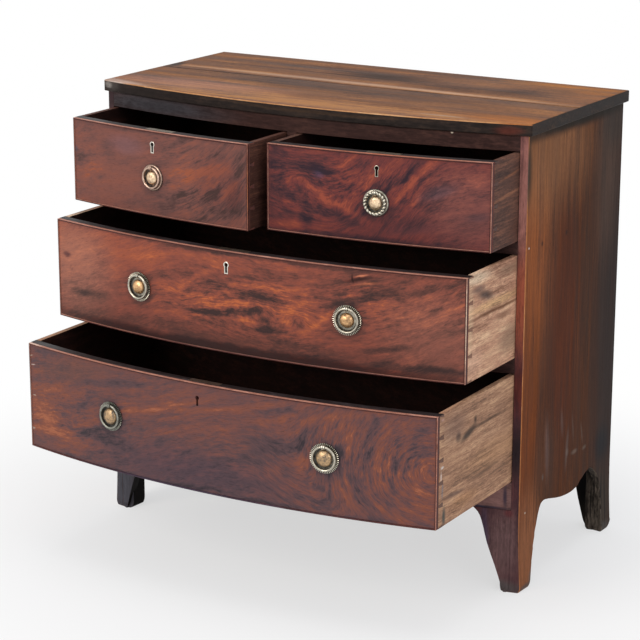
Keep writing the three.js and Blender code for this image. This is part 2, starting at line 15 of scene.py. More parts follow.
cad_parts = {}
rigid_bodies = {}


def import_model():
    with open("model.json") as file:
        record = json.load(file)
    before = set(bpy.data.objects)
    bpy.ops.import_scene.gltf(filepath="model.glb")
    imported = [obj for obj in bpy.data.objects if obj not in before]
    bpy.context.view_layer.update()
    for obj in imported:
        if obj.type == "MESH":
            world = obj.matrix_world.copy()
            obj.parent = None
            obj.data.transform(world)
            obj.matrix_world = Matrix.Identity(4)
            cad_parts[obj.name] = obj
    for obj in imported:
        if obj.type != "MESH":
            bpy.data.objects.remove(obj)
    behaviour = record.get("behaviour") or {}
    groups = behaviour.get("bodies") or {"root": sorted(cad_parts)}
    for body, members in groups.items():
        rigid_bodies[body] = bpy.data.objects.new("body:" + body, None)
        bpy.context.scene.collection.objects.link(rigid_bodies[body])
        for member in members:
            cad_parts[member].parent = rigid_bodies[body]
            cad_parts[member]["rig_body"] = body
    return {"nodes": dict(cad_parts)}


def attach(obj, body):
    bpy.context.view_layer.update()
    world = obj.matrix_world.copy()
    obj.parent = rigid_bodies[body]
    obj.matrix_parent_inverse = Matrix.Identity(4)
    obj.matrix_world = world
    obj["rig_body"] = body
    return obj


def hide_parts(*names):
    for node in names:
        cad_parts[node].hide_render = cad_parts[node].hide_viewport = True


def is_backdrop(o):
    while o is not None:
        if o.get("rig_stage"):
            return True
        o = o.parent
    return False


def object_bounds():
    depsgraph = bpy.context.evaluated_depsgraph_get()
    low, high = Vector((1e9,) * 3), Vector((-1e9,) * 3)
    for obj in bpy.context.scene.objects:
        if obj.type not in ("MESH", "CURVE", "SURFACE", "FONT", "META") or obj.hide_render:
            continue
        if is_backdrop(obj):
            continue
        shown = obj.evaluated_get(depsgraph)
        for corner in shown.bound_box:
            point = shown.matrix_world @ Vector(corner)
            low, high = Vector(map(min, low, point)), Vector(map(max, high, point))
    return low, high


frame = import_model()
cad_low, cad_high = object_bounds()
MM = 0.001
print("The chest measures", [round((b - a) / MM) for a, b in zip(cad_low, cad_high)], "mm")

# %% [markdown]
# ## The camera
# The photograph was taken from the right of the front and a little above the top. Its place was worked out
# from the straight edges of the chest. The long lens keeps the verticals nearly parallel, as they are
# there.

# %% Place the camera
CAMERA_PLACE = (2.1177, -3.5060, 1.5940)
CAMERA_TILT = math.radians(74.449)
CAMERA_TURN = math.radians(31.061)
CAMERA_ROLL = math.radians(0.096)
LENS = 124.14
SENSOR = 36

view = bpy.data.cameras.new("Camera")
view.lens = LENS
view.sensor_width = SENSOR
camera = bpy.data.objects.new("Camera", view)
bpy.context.collection.objects.link(camera)
turned = Matrix.Rotation(CAMERA_TURN, 4, "Z") @ Matrix.Rotation(CAMERA_TILT, 4, "X")
camera.matrix_world = Matrix.Translation(CAMERA_PLACE) @ turned @ Matrix.Rotation(CAMERA_ROLL, 4, "Z")
bpy.context.scene.camera = camera
print("The camera stands", round(Vector(CAMERA_PLACE).length, 2), "m from the foot of the chest")

# %% [markdown]
# ## Helpers for materials
# Colours are written as they look on a screen, in sRGB hex, and the shader wants linear light, so one
# function converts them. Another adds a node, sets it, links it and hands back the output that the next
# node needs, so that a recipe reads from top to bottom.

# %% Colours and nodes
def linear(code):
    """The linear colour of an sRGB hex code."""
    parts = [int(code[i : i + 2], 16) / 255 for i in (1, 3, 5)]
    return tuple(p / 12.92 if p <= 0.04045 else ((p + 0.055) / 1.055) ** 2.4 for p in parts) + (1.0,)


def add(tree, kind, inputs=(), take=0, stops=(), curve=(), **settings):
    """Adds a node with its settings and links. Returns the output to take, or the node for None."""
    node = tree.nodes.new(kind)
    for name, value in settings.items():
        setattr(node, name, value)
    for key, value in dict(inputs).items():
        live = [s for s in node.inputs if s.enabled]
        socket = live[key] if isinstance(key, int) else next(s for s in live if s.name == key)
        if isinstance(value, bpy.types.NodeSocket):
            tree.links.new(value, socket)
        else:
            socket.default_value = value
    for number, (place, colour) in enumerate(stops):
        marks = node.color_ramp.elements
        mark = marks[0] if number == 0 else marks[-1] if number == len(stops) - 1 else marks.new(place)
        mark.position = place
        mark.color = linear(colour)
    for number, (x, y) in enumerate(curve):
        points = node.mapping.curves[0].points
        if number in (0, len(curve) - 1):
            points[0 if number == 0 else -1].location = (x, y)
        else:
            points.new(x, y)
    if curve:
        node.mapping.update()
    live = [s for s in node.outputs if s.enabled]
    if take is None or not live:
        return node
    return live[take] if isinstance(take, int) else next(s for s in live if s.name == take)


def new_material(name):
    """An empty material and its node tree."""
    made = bpy.data.materials.new(name)
    made.use_nodes = True
    made.node_tree.nodes.clear()
    return made, made.node_tree


print("The screen's mid grey #808080 is", round(linear("#808080")[0], 3), "in linear light")

# %% [markdown]
# ## Where the grain runs
# Wood is a bundle of long fibres. On a straight board they follow its length, but crotch veneer is cut
# where a trunk forks, and there they sweep and swirl. So each point asks how high it lies above a curved
# grain line. Hills push that line up or down, and rings close it round the eye of the fork. Soft ellipses
# mark where the real boards are darker, lighter, livelier or worn.

# %% Soft spots and the grain line
def soft_spot(tree, place, x, z, wide, tall, tilt=0, kind="SPHERICAL"):
    """A soft ellipse, 1 in its middle and 0 from its edge outwards."""
    inside = {
        "Vector": place,
        "Location": (x * MM, z * MM, 0),
        "Rotation": (0, 0, math.radians(tilt)),
        "Scale": (wide * MM, tall * MM, 10),
    }
    own = add(tree, "ShaderNodeMapping", inside, vector_type="TEXTURE")
    return add(tree, "ShaderNodeTexGradient", {"Vector": own}, take="Fac", gradient_type=kind)


def bent_grain(tree, place, along, across, flow, lift, hills, rings):
    """The height of a point above the grain line that passes under it."""
    start, end = flow[0][0] * MM, flow[-1][0] * MM
    share = add(tree, "ShaderNodeMapRange", {"Value": along, "From Min": start, "From Max": end})
    points = [((x * MM - start) / (end - start), y / lift) for x, y in flow]
    rise = add(tree, "ShaderNodeFloatCurve", {"Value": share}, curve=points)
    high = add(tree, "ShaderNodeMath", {0: rise, 1: -lift * MM, 2: across}, operation="MULTIPLY_ADD")
    for x, z, wide, tall, height in hills:
        hill = soft_spot(tree, place, x, z, wide, tall, kind="QUADRATIC_SPHERE")
        high = add(tree, "ShaderNodeMath", {0: hill, 1: -height * MM, 2: high}, operation="MULTIPLY_ADD")
    for x, z, squeeze, wide, tall in rings:
        spot = add(tree, "ShaderNodeVectorMath", {0: place, 1: (-x * MM, -z * MM, 0)}, operation="ADD")
        flat = add(tree, "ShaderNodeVectorMath", {0: spot, 1: (1, squeeze, 0)}, operation="MULTIPLY")
        far = add(tree, "ShaderNodeVectorMath", {0: flat}, take="Value", operation="LENGTH")
        mask = soft_spot(tree, place, x, z, wide, tall)
        mask = {"Value": mask, "From Max": 0.5}
        mask = add(tree, "ShaderNodeMapRange", mask, interpolation_type="SMOOTHSTEP")
        high = add(tree, "ShaderNodeMix", {"Factor": mask, "A": high, "B": far})
    return high


# The axes along the grain, across it and into the wood, for boards that lie each way.
FRONT = (0, 2, 1)
TOP = (0, 1, 2)
SIDE = (2, 1, 0)
BOARD = (1, 2, 0)
STILE = (2, 0, 1)
print("The grain runs along", ["XYZ"[axes[0]] for axes in (FRONT, TOP, SIDE, BOARD, STILE)])

# %% [markdown]
# ## Layers of grain
# Noise is stretched along the grain line in layers: a broad figure, streaks, a mottle, fibres and pores.
# Two waves push every point about first, so that no line is drawn with a ruler. The slow wave also says
# where the wood is calm and where it is lively. A layer needs only its width and length, in millimetres.
#
# Real streaks are 1 to 2 mm wide, fibres finer than a hair and pores 0.2 mm wide. They are drawn 3.4, 1.6
# and 1.1 mm wide, because real ones would not show from where the camera stands.

# %% Waves and layers
STREAK = 3.4
MOTTLE = (10, 17)
FIBRE = (1.6, 9)
PORE = (1.1, 16)
COARSENESS = 0.68
SLOW_WAVE, QUICK_WAVE = (9.0, 2.0), (55.0, 3.0)


def waved(tree, axes, wander, ragged, seed):
    """A point's place along, across and into the board, pushed by two waves, and how lively it is there."""
    where = add(tree, "ShaderNodeTexCoord", take="Object")
    parts = add(tree, "ShaderNodeSeparateXYZ", {0: where}, take=None).outputs
    straight = add(tree, "ShaderNodeCombineXYZ", {number: parts[axis] for number, axis in enumerate(axes)})
    place = straight
    for (scale, detail), reach in ((SLOW_WAVE, wander), (QUICK_WAVE, ragged)):
        wave = {"Vector": straight, "Scale": scale, "Detail": detail, "W": seed}
        drift = add(tree, "ShaderNodeTexNoise", wave, take="Color", noise_dimensions="4D")
        drift = add(tree, "ShaderNodeVectorMath", {0: drift, 1: (-0.5, -0.5, -0.5)}, operation="ADD")
        if place is straight:
            life = add(tree, "ShaderNodeSeparateXYZ", {0: drift}, take="Z")
        push = {0: drift, 1: (reach * MM, reach * MM, 0), 2: place}
        place = add(tree, "ShaderNodeVectorMath", push, operation="MULTIPLY_ADD")
    return place, life


def grain_layers(tree, along, across, deep, high, length, figure, seed):
    """A noise for each layer of the grain, by name."""
    layers = {}
    marks = (("streak", STREAK, length, 4.0), ("figure", figure, 2.6 * length, 3.0),
             ("mottle", *MOTTLE, 4.0), ("fibre", *FIBRE, 2.0), ("pore", *PORE, 1.0))
    for layer, wide, long, detail in marks:
        run = add(tree, "ShaderNodeMath", {0: along, 1: 1 / (long * MM)}, operation="MULTIPLY")
        rise = add(tree, "ShaderNodeMath", {0: high, 1: 1 / (wide * MM)}, operation="MULTIPLY")
        slip = add(tree, "ShaderNodeMath", {0: across, 1: 1 / (long * MM)}, operation="MULTIPLY")
        into = {0: deep, 1: 0.5 / (wide * MM), 2: slip}
        into = add(tree, "ShaderNodeMath", into, operation="MULTIPLY_ADD")
        spot = add(tree, "ShaderNodeCombineXYZ", {0: run, 1: rise, 2: into})
        shape = {"Vector": spot, "Scale": 1.0, "Detail": detail, "Roughness": COARSENESS, "W": seed}
        layers[layer] = add(tree, "ShaderNodeTexNoise", shape, noise_dimensions="4D")
    return layers


print("Streaks are drawn", STREAK, "mm wide and pores", PORE[0], "mm wide")

# %% [markdown]
# ## The tone of a place
# The layers are added up to one value, which picks a tone from dark to light. `mix` weighs the figure, the
# streaks, the mottle and the fibres, and `spread` says how widely their sum spreads over the tones. With
# `busy` spots, the rest of the board is calmer. Patches of six numbers move the value up or down, times
# `force`. Patches that end in a colour and a strength stain the wood. A stain is frayed and shaded by the
# grain, so that it lies in the wood and not on it.

# %% Values and stains
EVEN_CONTRAST, BUSY_CONTRAST = (0.3, 0.65), (0.16, 0.4)
LIFE_REACH = 0.15
FRAY = {1: 0.6, 2: 0.6}
STAIN_SHADE = {1: 0.9, 2: 0.55}


def grain_value(tree, place, life, layers, mix, spread, busy, patches, force):
    """The value of the grain, from 0 for its darkest tone to 1 for its lightest."""
    value = 0.0
    for layer, weight in zip(("figure", "streak", "mottle", "fibre"), mix):
        value = {0: layers[layer], 1: weight, 2: value}
        value = add(tree, "ShaderNodeMath", value, operation="MULTIPLY_ADD")
    value = add(tree, "ShaderNodeMath", {0: value, 1: -0.5}, operation="ADD")
    calm, lively = (contrast / spread for contrast in (BUSY_CONTRAST if busy else EVEN_CONTRAST))
    life = {"Value": life, "From Min": -LIFE_REACH, "From Max": LIFE_REACH, "To Min": calm, "To Max": lively}
    life = add(tree, "ShaderNodeMapRange", life)
    for x, z, wide, tall, gain in busy:
        mask = soft_spot(tree, place, x, z, wide, tall)
        life = add(tree, "ShaderNodeMath", {0: mask, 1: gain / spread, 2: life}, operation="MULTIPLY_ADD")
    value = add(tree, "ShaderNodeMath", {0: value, 1: life, 2: 0.5}, operation="MULTIPLY_ADD")
    for *ellipse, change in [patch for patch in patches if len(patch) == 6]:
        value = {0: soft_spot(tree, place, *ellipse), 1: change * force, 2: value}
        value = add(tree, "ShaderNodeMath", value, operation="MULTIPLY_ADD")
    return value


def stained(tree, place, value, colour, patches):
    """The colour with its stains."""
    frayed = add(tree, "ShaderNodeMath", {0: value, **FRAY}, operation="MULTIPLY_ADD", use_clamp=True)
    shade = add(tree, "ShaderNodeMath", {0: value, **STAIN_SHADE}, operation="MULTIPLY_ADD")
    for *ellipse, tone, strength in [patch for patch in patches if len(patch) == 7]:
        mask = soft_spot(tree, place, *ellipse)
        mask = add(tree, "ShaderNodeMath", {0: mask, 1: frayed}, operation="MULTIPLY")
        edge = {"Value": mask, "From Min": 0.02, "From Max": 0.75, "To Max": strength}
        mask = add(tree, "ShaderNodeMapRange", edge, interpolation_type="SMOOTHSTEP")
        stain = add(tree, "ShaderNodeVectorMath", {0: linear(tone)[:3], "Scale": shade}, operation="SCALE")
        colour = add(tree, "ShaderNodeMix", {"Factor": mask, "A": colour, "B": stain}, data_type="RGBA")
    return colour


print("Lively places have", round(EVEN_CONTRAST[1] / EVEN_CONTRAST[0], 1), "times the contrast of calm ones")

# %% [markdown]
# ## The recipe for wood
# One recipe draws all the wood of the chest, because its boards differ in scale, tone and wear and not in
# kind. `wander` and `ragged` are how far, in millimetres, the slow and the quick wave push the grain.
# `ends` gives the depth at which a veneer ends and plain wood begins, with that wood's colour. The pores
# are dark pits, so they also lower the surface, and the streaks raise it a little. Broad figure changes
# the gloss, because soft and hard wood take polish differently.

# %% Wood
PORE_TONE, PORE_DEPTH = "#1c1010", 0.35
VENEER_EDGE = 0.6
RELIEF = 0.25 * MM
POLISH_IOR = 1.5


def wood(name, tones, axes, flow=((-500, 0), (500, 0)), lift=100, hills=(), rings=(), patches=(), busy=(),
         length=34, figure=18, spread=0.13, wander=14, ragged=7, mix=(0.4, 0.22, 0.26, 0.12), force=0.7,
         rough=(0.36, 0.56), ends=None, shine=0.12, seed=0.0):
    """A sawn and polished board. Its axes run along the grain, across it and into it."""
    made, tree = new_material(name)
    place, life = waved(tree, axes, wander, ragged, seed)
    along, across, deep = add(tree, "ShaderNodeSeparateXYZ", {0: place}, take=None).outputs
    high = bent_grain(tree, place, along, across, flow, lift, hills, rings)
    layers = grain_layers(tree, along, across, deep, high, length, figure, seed)
    value = grain_value(tree, place, life, layers, mix, spread, busy, patches, force)
    colour = add(tree, "ShaderNodeValToRGB", {0: value}, stops=tones)
    colour = stained(tree, place, value, colour, patches)
    if ends:
        back, tone = ends
        inner = {"Value": deep, "From Min": back * MM, "From Max": (back + VENEER_EDGE) * MM, "To Max": 0.85}
        inner = add(tree, "ShaderNodeMapRange", inner)
        colour = {"Factor": inner, "A": colour, "B": linear(tone)}
        colour = add(tree, "ShaderNodeMix", colour, data_type="RGBA")
    pits = {"Value": layers["pore"], "From Min": 0.56, "From Max": 0.72, "To Max": PORE_DEPTH}
    pits = add(tree, "ShaderNodeMapRange", pits)
    colour = {"Factor": pits, "A": colour, "B": linear(PORE_TONE)}
    colour = add(tree, "ShaderNodeMix", colour, data_type="RGBA")
    low, high = rough
    gloss = {"Value": layers["figure"], "From Min": 0.3, "From Max": 0.7, "To Min": low, "To Max": high}
    gloss = add(tree, "ShaderNodeMapRange", gloss)
    height = add(tree, "ShaderNodeMath", {0: pits, 1: layers["streak"]}, operation="SUBTRACT")
    relief = {"Height": height, "Strength": 0.35, "Distance": RELIEF}
    normal = add(tree, "ShaderNodeBump", relief, invert=True)
    skin = {"Base Color": colour, "Roughness": gloss, "Normal": normal, "IOR": POLISH_IOR,
            "Specular IOR Level": shine}
    surface = add(tree, "ShaderNodeBsdfPrincipled", skin)
    add(tree, "ShaderNodeOutputMaterial", {"Surface": surface})
    print(name, "has", len(tree.nodes), "nodes")
    return made


# %% [markdown]
# ## Flame mahogany
# The drawer fronts are faced with flame veneer, sliced from a crotch of mahogany and polished. No two
# leaves are alike, so each drawer gets its own grain line, as heights in millimetres at places along the
# front, its own tones, and its own dark and bright patches. A picture of the veneer would be quicker, but
# it would bring its own light and shade with it. Numbers can be changed, and they look right in any light.
#
# The top left front is calm, with a painted sheen in pinkish grey on its left. Its flames rise steeply at
# the right, and the wood is darker there.

# %% The top left front
WARM = [(0.0, "#48332f"), (0.3, "#664540"), (0.55, "#7b4d43"), (0.8, "#855042"), (1.0, "#96543c")]
fronts = {}
# Sliced and polished flame veneer: a soft brown sheen with blurred orange flames and dark clouds.
fronts["top_left_drawer"] = wood(
    "mahogany_flame_top_left", WARM, FRONT, lift=200, ends=(-166.6, "#5a3a32"), seed=1.0,
    flow=((-445, 0), (-300, 22), (-180, 44), (-90, 90), (0, 190)),
    busy=((-90, 745, 160, 100, 0.8), (-390, 750, 70, 50, 0.3)),
    patches=(
        # The lift at the left and the pinkish grey at (-300, 800) are painted sheen. The thin dark strip
        # along the upper edge at 830 is painted shade.
        (-380, 720, 200, 110, 0, 0.18), (-229, 744, 42, 42, 0, -0.9), (-347, 783, 24, 26, 0, -0.5),
        (-420, 755, 30, 14, 0, -0.4), (-385, 752, 60, 14, 18, 0.4), (-300, 735, 60, 30, 0, 0.2),
        (-280, 700, 60, 20, 10, -0.25), (-150, 768, 110, 18, 10, 0.75), (-92, 764, 80, 28, 28, 0.8),
        (-48, 745, 50, 30, 55, 0.6), (-128, 720, 110, 20, 8, -0.7), (-60, 700, 90, 18, 14, -0.6),
        (-34, 778, 22, 60, -14, -0.8), (-212, 694, 60, 24, 0, -0.4), (-130, 812, 170, 18, 4, -0.25),
        (-90, 735, 50, 10, 20, -0.5), (-70, 790, 40, 10, 40, -0.5), (-100, 690, 60, 8, 10, 0.4),
        (-226, 830, 260, 6, 0, -0.5), (-437, 775, 12, 10, 0, "#4c444c", 0.8),
        (-300, 800, 70, 28, 0, "#74565a", 0.5), (-70, 750, 90, 90, 0, "#502c2c", 0.4),
        (-40, 725, 34, 60, -10, "#3a2022", 0.4),
    ),
)

# %% [markdown]
# The top right front is the reddest. A dark plume stands left of its handle, and long flames sweep up to
# the right, where the polish has bloomed to a dusty pink.

# %% The top right front
RED = [(0.0, "#302028"), (0.3, "#502e2f"), (0.55, "#6c3633"), (0.8, "#7d3e34"), (1.0, "#964a38")]
# The same veneer, deep cherry red with nearly black figure.
fronts["top_right_drawer"] = wood(
    "mahogany_flame_top_right", RED, FRONT, lift=230, ends=(-137.6, "#57423a"), seed=2.0,
    flow=((0, 0), (110, -10), (190, 24), (270, 110), (340, 180), (445, 215)),
    hills=((80, 780, 120, 60, 40), (150, 720, 90, 50, -30)),
    busy=((110, 755, 150, 90, 0.6), (300, 780, 220, 70, 0.45)),
    patches=(
        (28, 765, 44, 80, 0, -0.55), (233, 744, 38, 38, 0, -0.8), (95, 800, 110, 26, -16, -0.5),
        (158, 716, 60, 18, -14, -0.6), (95, 704, 20, 40, 0, -0.6), (75, 770, 60, 16, -12, 0.4),
        (150, 738, 90, 14, -26, 0.5), (240, 804, 110, 14, 34, 0.5), (310, 800, 90, 13, 44, 0.7),
        (398, 800, 80, 44, 30, 0.35), (385, 744, 110, 12, 16, 0.45), (62, 690, 110, 12, 0, 0.4),
        # The thin dark strip along the lower edge, at 678, is painted shade.
        (262, 780, 110, 11, 42, -0.6), (305, 720, 80, 22, 12, -0.45), (226, 678, 240, 8, 0, -0.6),
        (200, 770, 60, 40, 0, 0.2), (345, 770, 40, 30, 30, -0.3), (420, 690, 40, 24, 0, 0.2),
        (130, 820, 120, 14, 6, 0.3), (400, 750, 120, 120, 0, "#7e5850", 0.32),
        (345, 775, 56, 18, 22, "#4a4048", 0.5), (415, 735, 34, 12, 10, "#523c40", 0.5),
        (300, 705, 70, 16, 12, "#4e3438", 0.4), (118, 790, 18, 14, 0, "#40405a", 0.5),
    ),
)

# %% [markdown]
# The middle front is the brightest, with its liveliest figure between the handles. A flake of veneer is
# missing at its upper right. Its lower edge is painted dark red, as painted shade with a painted reflection
# in it, and a painted sheen lies on its left end.

# %% The middle front
FLAME = [(0.0, "#3e2c2a"), (0.3, "#623c34"), (0.55, "#84493c"), (0.8, "#9c543c"), (1.0, "#b8643e")]
# The same veneer, faded to orange brown, with knotted dark figure in its middle.
fronts["middle_drawer"] = wood(
    "mahogany_flame_middle", FLAME, FRONT, lift=220, ends=(-224.6, "#8c6650"), seed=3.0,
    flow=((-445, 0), (-250, 60), (-110, 98), (60, 84), (200, 100), (445, 190)),
    hills=((40, 552, 170, 60, 40), (-120, 560, 90, 60, -18), (130, 540, 60, 40, 20)),
    busy=((0, 548, 210, 70, 0.8), (270, 590, 240, 70, 0.45)),
    patches=(
        # Painted light: the lift and the pink patch at the left end are painted sheen, and the dark strips
        # along the lower edge, from 461 to 480, and along the upper edge at 643 are painted shade.
        (-380, 596, 240, 80, 10, 0.45), (-222, 548, 42, 42, 0, -0.8), (227, 548, 44, 44, 0, -0.8),
        (-360, 515, 70, 10, 5, -0.7), (-320, 575, 40, 34, 20, -0.35), (52, 574, 110, 16, 8, -0.6),
        (0, 538, 100, 11, 10, -0.55), (62, 510, 110, 12, -3, -0.55), (-62, 528, 80, 10, 0, -0.5),
        (92, 588, 90, 12, 6, 0.6), (-104, 582, 100, 10, 30, 0.5), (10, 524, 60, 12, 0, 0.5),
        (172, 538, 80, 9, 38, 0.6), (250, 592, 110, 11, 20, -0.6), (292, 506, 60, 9, 10, -0.7),
        (380, 622, 100, 12, 16, -0.4), (-200, 461, 420, 16, 0, -0.9), (160, 461, 420, 17, 0, -0.8),
        (380, 477, 140, 9, 0, -0.8), (-20, 480, 560, 26, 0, -0.35), (0, 643, 560, 6, 0, -0.6),
        (250, 628, 90, 16, 6, -0.4), (120, 560, 50, 12, 30, 0.5), (-10, 556, 60, 8, 12, 0.5),
        (300, 560, 120, 30, 30, 0.25), (-150, 620, 200, 14, 8, 0.25),
        (-395, 555, 150, 150, 0, "#986c5c", 0.45), (390, 540, 150, 120, 0, "#8c6052", 0.35),
        (-417, 582, 16, 8, 0, "#46282c", 0.8), (246, 627, 40, 6, 12, "#341a18", 0.9),
        (252, 634, 17, 3.4, 12, "#c87a5a", 1.0), (262, 620, 28, 4.4, 12, "#b4684c", 1.0),
        # The dark red strips at 463 are a painted reflection in the shade of the lower edge.
        (236, 628, 3, 12, 10, "#241010", 0.9), (-200, 463, 420, 16, 0, "#4a160e", 0.6),
        (160, 463, 420, 16, 0, "#4a160e", 0.6),
    ),
)

# %% [markdown]
# The bottom front is the coolest. Its grain closes in rings round an eye near the right end, and its left
# end has lost small flakes of veneer.

# %% The bottom front
PURPLE = [(0.0, "#383034"), (0.3, "#574244"), (0.55, "#6f4842"), (0.8, "#824d3c"), (1.0, "#9e6046")]
# The same veneer, purple brown in the shade, with warm rings round the eye of the fork.
fronts["bottom_drawer"] = wood(
    "mahogany_flame_bottom", PURPLE, FRONT, wander=26, lift=220, ends=(-324.6, "#705446"), seed=4.0,
    flow=((-445, 0), (-200, 42), (0, 96), (200, 138), (445, 210)), rings=((430, 322, 1.1, 360, 220),),
    busy=((330, 320, 330, 150, 0.5), (-330, 300, 200, 90, 0.4)),
    patches=(
        (-395, 345, 120, 14, 4, 0.5), (-218, 322, 42, 42, 0, -1.0), (240, 323, 44, 44, 0, -1.0),
        (-380, 290, 150, 60, 0, 0.4), (-330, 262, 140, 16, 4, 0.35), (-262, 282, 120, 26, 0, -0.6),
        (-50, 250, 330, 70, 0, -0.3), (-150, 345, 140, 9, 14, 0.45), (-80, 372, 140, 10, 18, 0.5),
        (50, 388, 190, 10, 12, 0.45), (250, 402, 190, 12, 12, 0.4), (120, 320, 150, 34, 24, -0.35),
        (230, 345, 80, 10, 48, 0.5), (-300, 330, 80, 10, 10, -0.4), (-200, 390, 120, 12, 12, -0.3),
        # The thin dark strip along the lower edge, at 222, is painted shade.
        (380, 300, 120, 60, 0, 0.3), (-20, 222, 520, 7, 0, -0.5), (-50, 250, 320, 70, 0, "#4a3e4a", 0.45),
        (-330, 390, 140, 36, 10, "#64463e", 0.4), (-437, 400, 8, 1.4, 12, "#b8a898", 0.9),
        (-433, 382, 9, 1.6, 8, "#bcaaa0", 1.0), (-430, 323, 7, 1.4, 4, "#b0a090", 0.8),
        (-437, 252, 9, 3, 20, "#a09488", 0.8),
    ),
)

# %% [markdown]
# ## The top
# Two long boards of plain mahogany, glued edge to edge. Sun has bleached them tan, water has left dark
# stains, and a pale band runs just behind the glue line, which has opened and filled with dirt. The front
# edge is nearly black, and only the corner between the two has been rubbed down to bare wood.

# %% Wood for the top
GLUE_LINE = 156.3
TOP_TONES = [(0.0, "#42291c"), (0.25, "#5e3f2e"), (0.5, "#785036"), (0.75, "#8f6040"), (1.0, "#b07a4a")]
# Planed and waxed boards: dull, with long fine streaks, and a painted sheen at the left.
top_wood = wood(
    "mahogany_top", TOP_TONES, TOP, length=150, figure=36, spread=0.1, wander=8, ragged=2, force=0.85,
    mix=(0.4, 0.32, 0.1, 0.18), shine=0.015, seed=5.0,
    patches=(
        # The lift at (-300, 10) and the pinkish grey patch at the same place, below, are painted sheen.
        (0, -60, 640, 60, 0, 0.8), (-300, 10, 300, 90, 0, 0.45), (0, 100, 480, 50, 0, -0.3),
        (-330, 160, 240, 8, 1, -0.2), (-10, 181, 680, 24, -1.4, 0.55), (-10, 272, 150, 50, 0, -0.75),
        (180, 225, 150, 50, 6, -0.5), (300, 240, 70, 70, 0, -0.4), (205, 300, 110, 80, 0, 0.3),
        (-360, 320, 200, 70, 0, -0.1), (210, -14, 120, 20, 0, -0.45), (400, 120, 150, 70, 0, 0.2),
        (-150, 253, 400, 7, -1.6, -0.5), (60, 362, 200, 16, 0, -0.3), (-60, 40, 200, 20, 0, 0.15),
        (-150, 330, 150, 30, 0, -0.35), (-300, 10, 320, 70, 0, "#92695c", 0.5),
        (0, 100, 460, 50, 0, "#5a473c", 0.35), (-10, 180, 640, 17, -1.4, "#a88c78", 0.55),
        (-10, 272, 130, 44, 0, "#40362f", 0.5), (320, 352, 160, 40, 0, "#b8722c", 0.8),
        (430, 336, 80, 60, 0, "#a8682c", 0.7), (0, 385, 700, 5, 0, "#1c140e", 1.0),
        (466, 160, 6, 330, 0, "#2a1c14", 0.8), (-452, 190, 20, 46, 0, "#2c2828", 0.9),
        (-440, -40, 130, 24, -14, "#c4a898", 0.6), (420, -14, 150, 50, 0, "#a8642c", 0.65),
        (0, GLUE_LINE, 900, 2.2, 0, "#1c120c", 1.0), (-400, GLUE_LINE, 200, 3, 0, "#1c120c", 0.9),
        (290, -46, 70, 7, 0, "#9c8e80", 0.5), (430, 250, 70, 110, 0, "#925e3a", 0.5),
    ),
)
EDGE_TONES = [(0.0, "#1a1614"), (0.5, "#2e2724"), (1.0, "#4c3c32")]
# The top's edge: old polish gone black, chipped grey at the left and worn red at the right.
edge_wood = wood(
    "mahogany_dark_edge", EDGE_TONES, FRONT, length=120, ragged=2, shine=0.05, seed=14.0,
    patches=(
        (425, 874, 40, 12, 0, "#6a3428", 0.6), (60, 880, 300, 5, 0, "#4a382a", 0.5),
        (-440, 876, 30, 14, 0, "#504a46", 0.7), (-452, 878, 14, 9, 0, "#8c8680", 0.8),
    ),
)
TOP_ARRIS_TONES = [(0.0, "#9c6840"), (0.5, "#c08a5c"), (1.0, "#dcae80")]
# Bare rubbed wood: a thin bright line along the front.
top_arris = wood(
    "mahogany_worn_top_arris", TOP_ARRIS_TONES, TOP, length=60, seed=15.0,
    patches=(
        (-440, -50, 60, 40, 0, "#b8aca4", 0.8), (440, -50, 60, 40, 0, "#a8602c", 0.8),
    ),
)

# %% [markdown]
# ## The sides
# Each side is one board with its grain upright. It is painted red brown in front and grey and black
# towards the back, a painted fall-off of the light, and a near black strip under the top is painted shadow.
# Small pale chips and scratches sit above the arch between the feet, and the toes are worn to bare wood.
# The front edge was veneered: dusky pink above, black near the floor.

# %% Wood for the sides
SIDE_TONES = [(0.0, "#26120a"), (0.35, "#402210"), (0.65, "#583018"), (1.0, "#744424")]
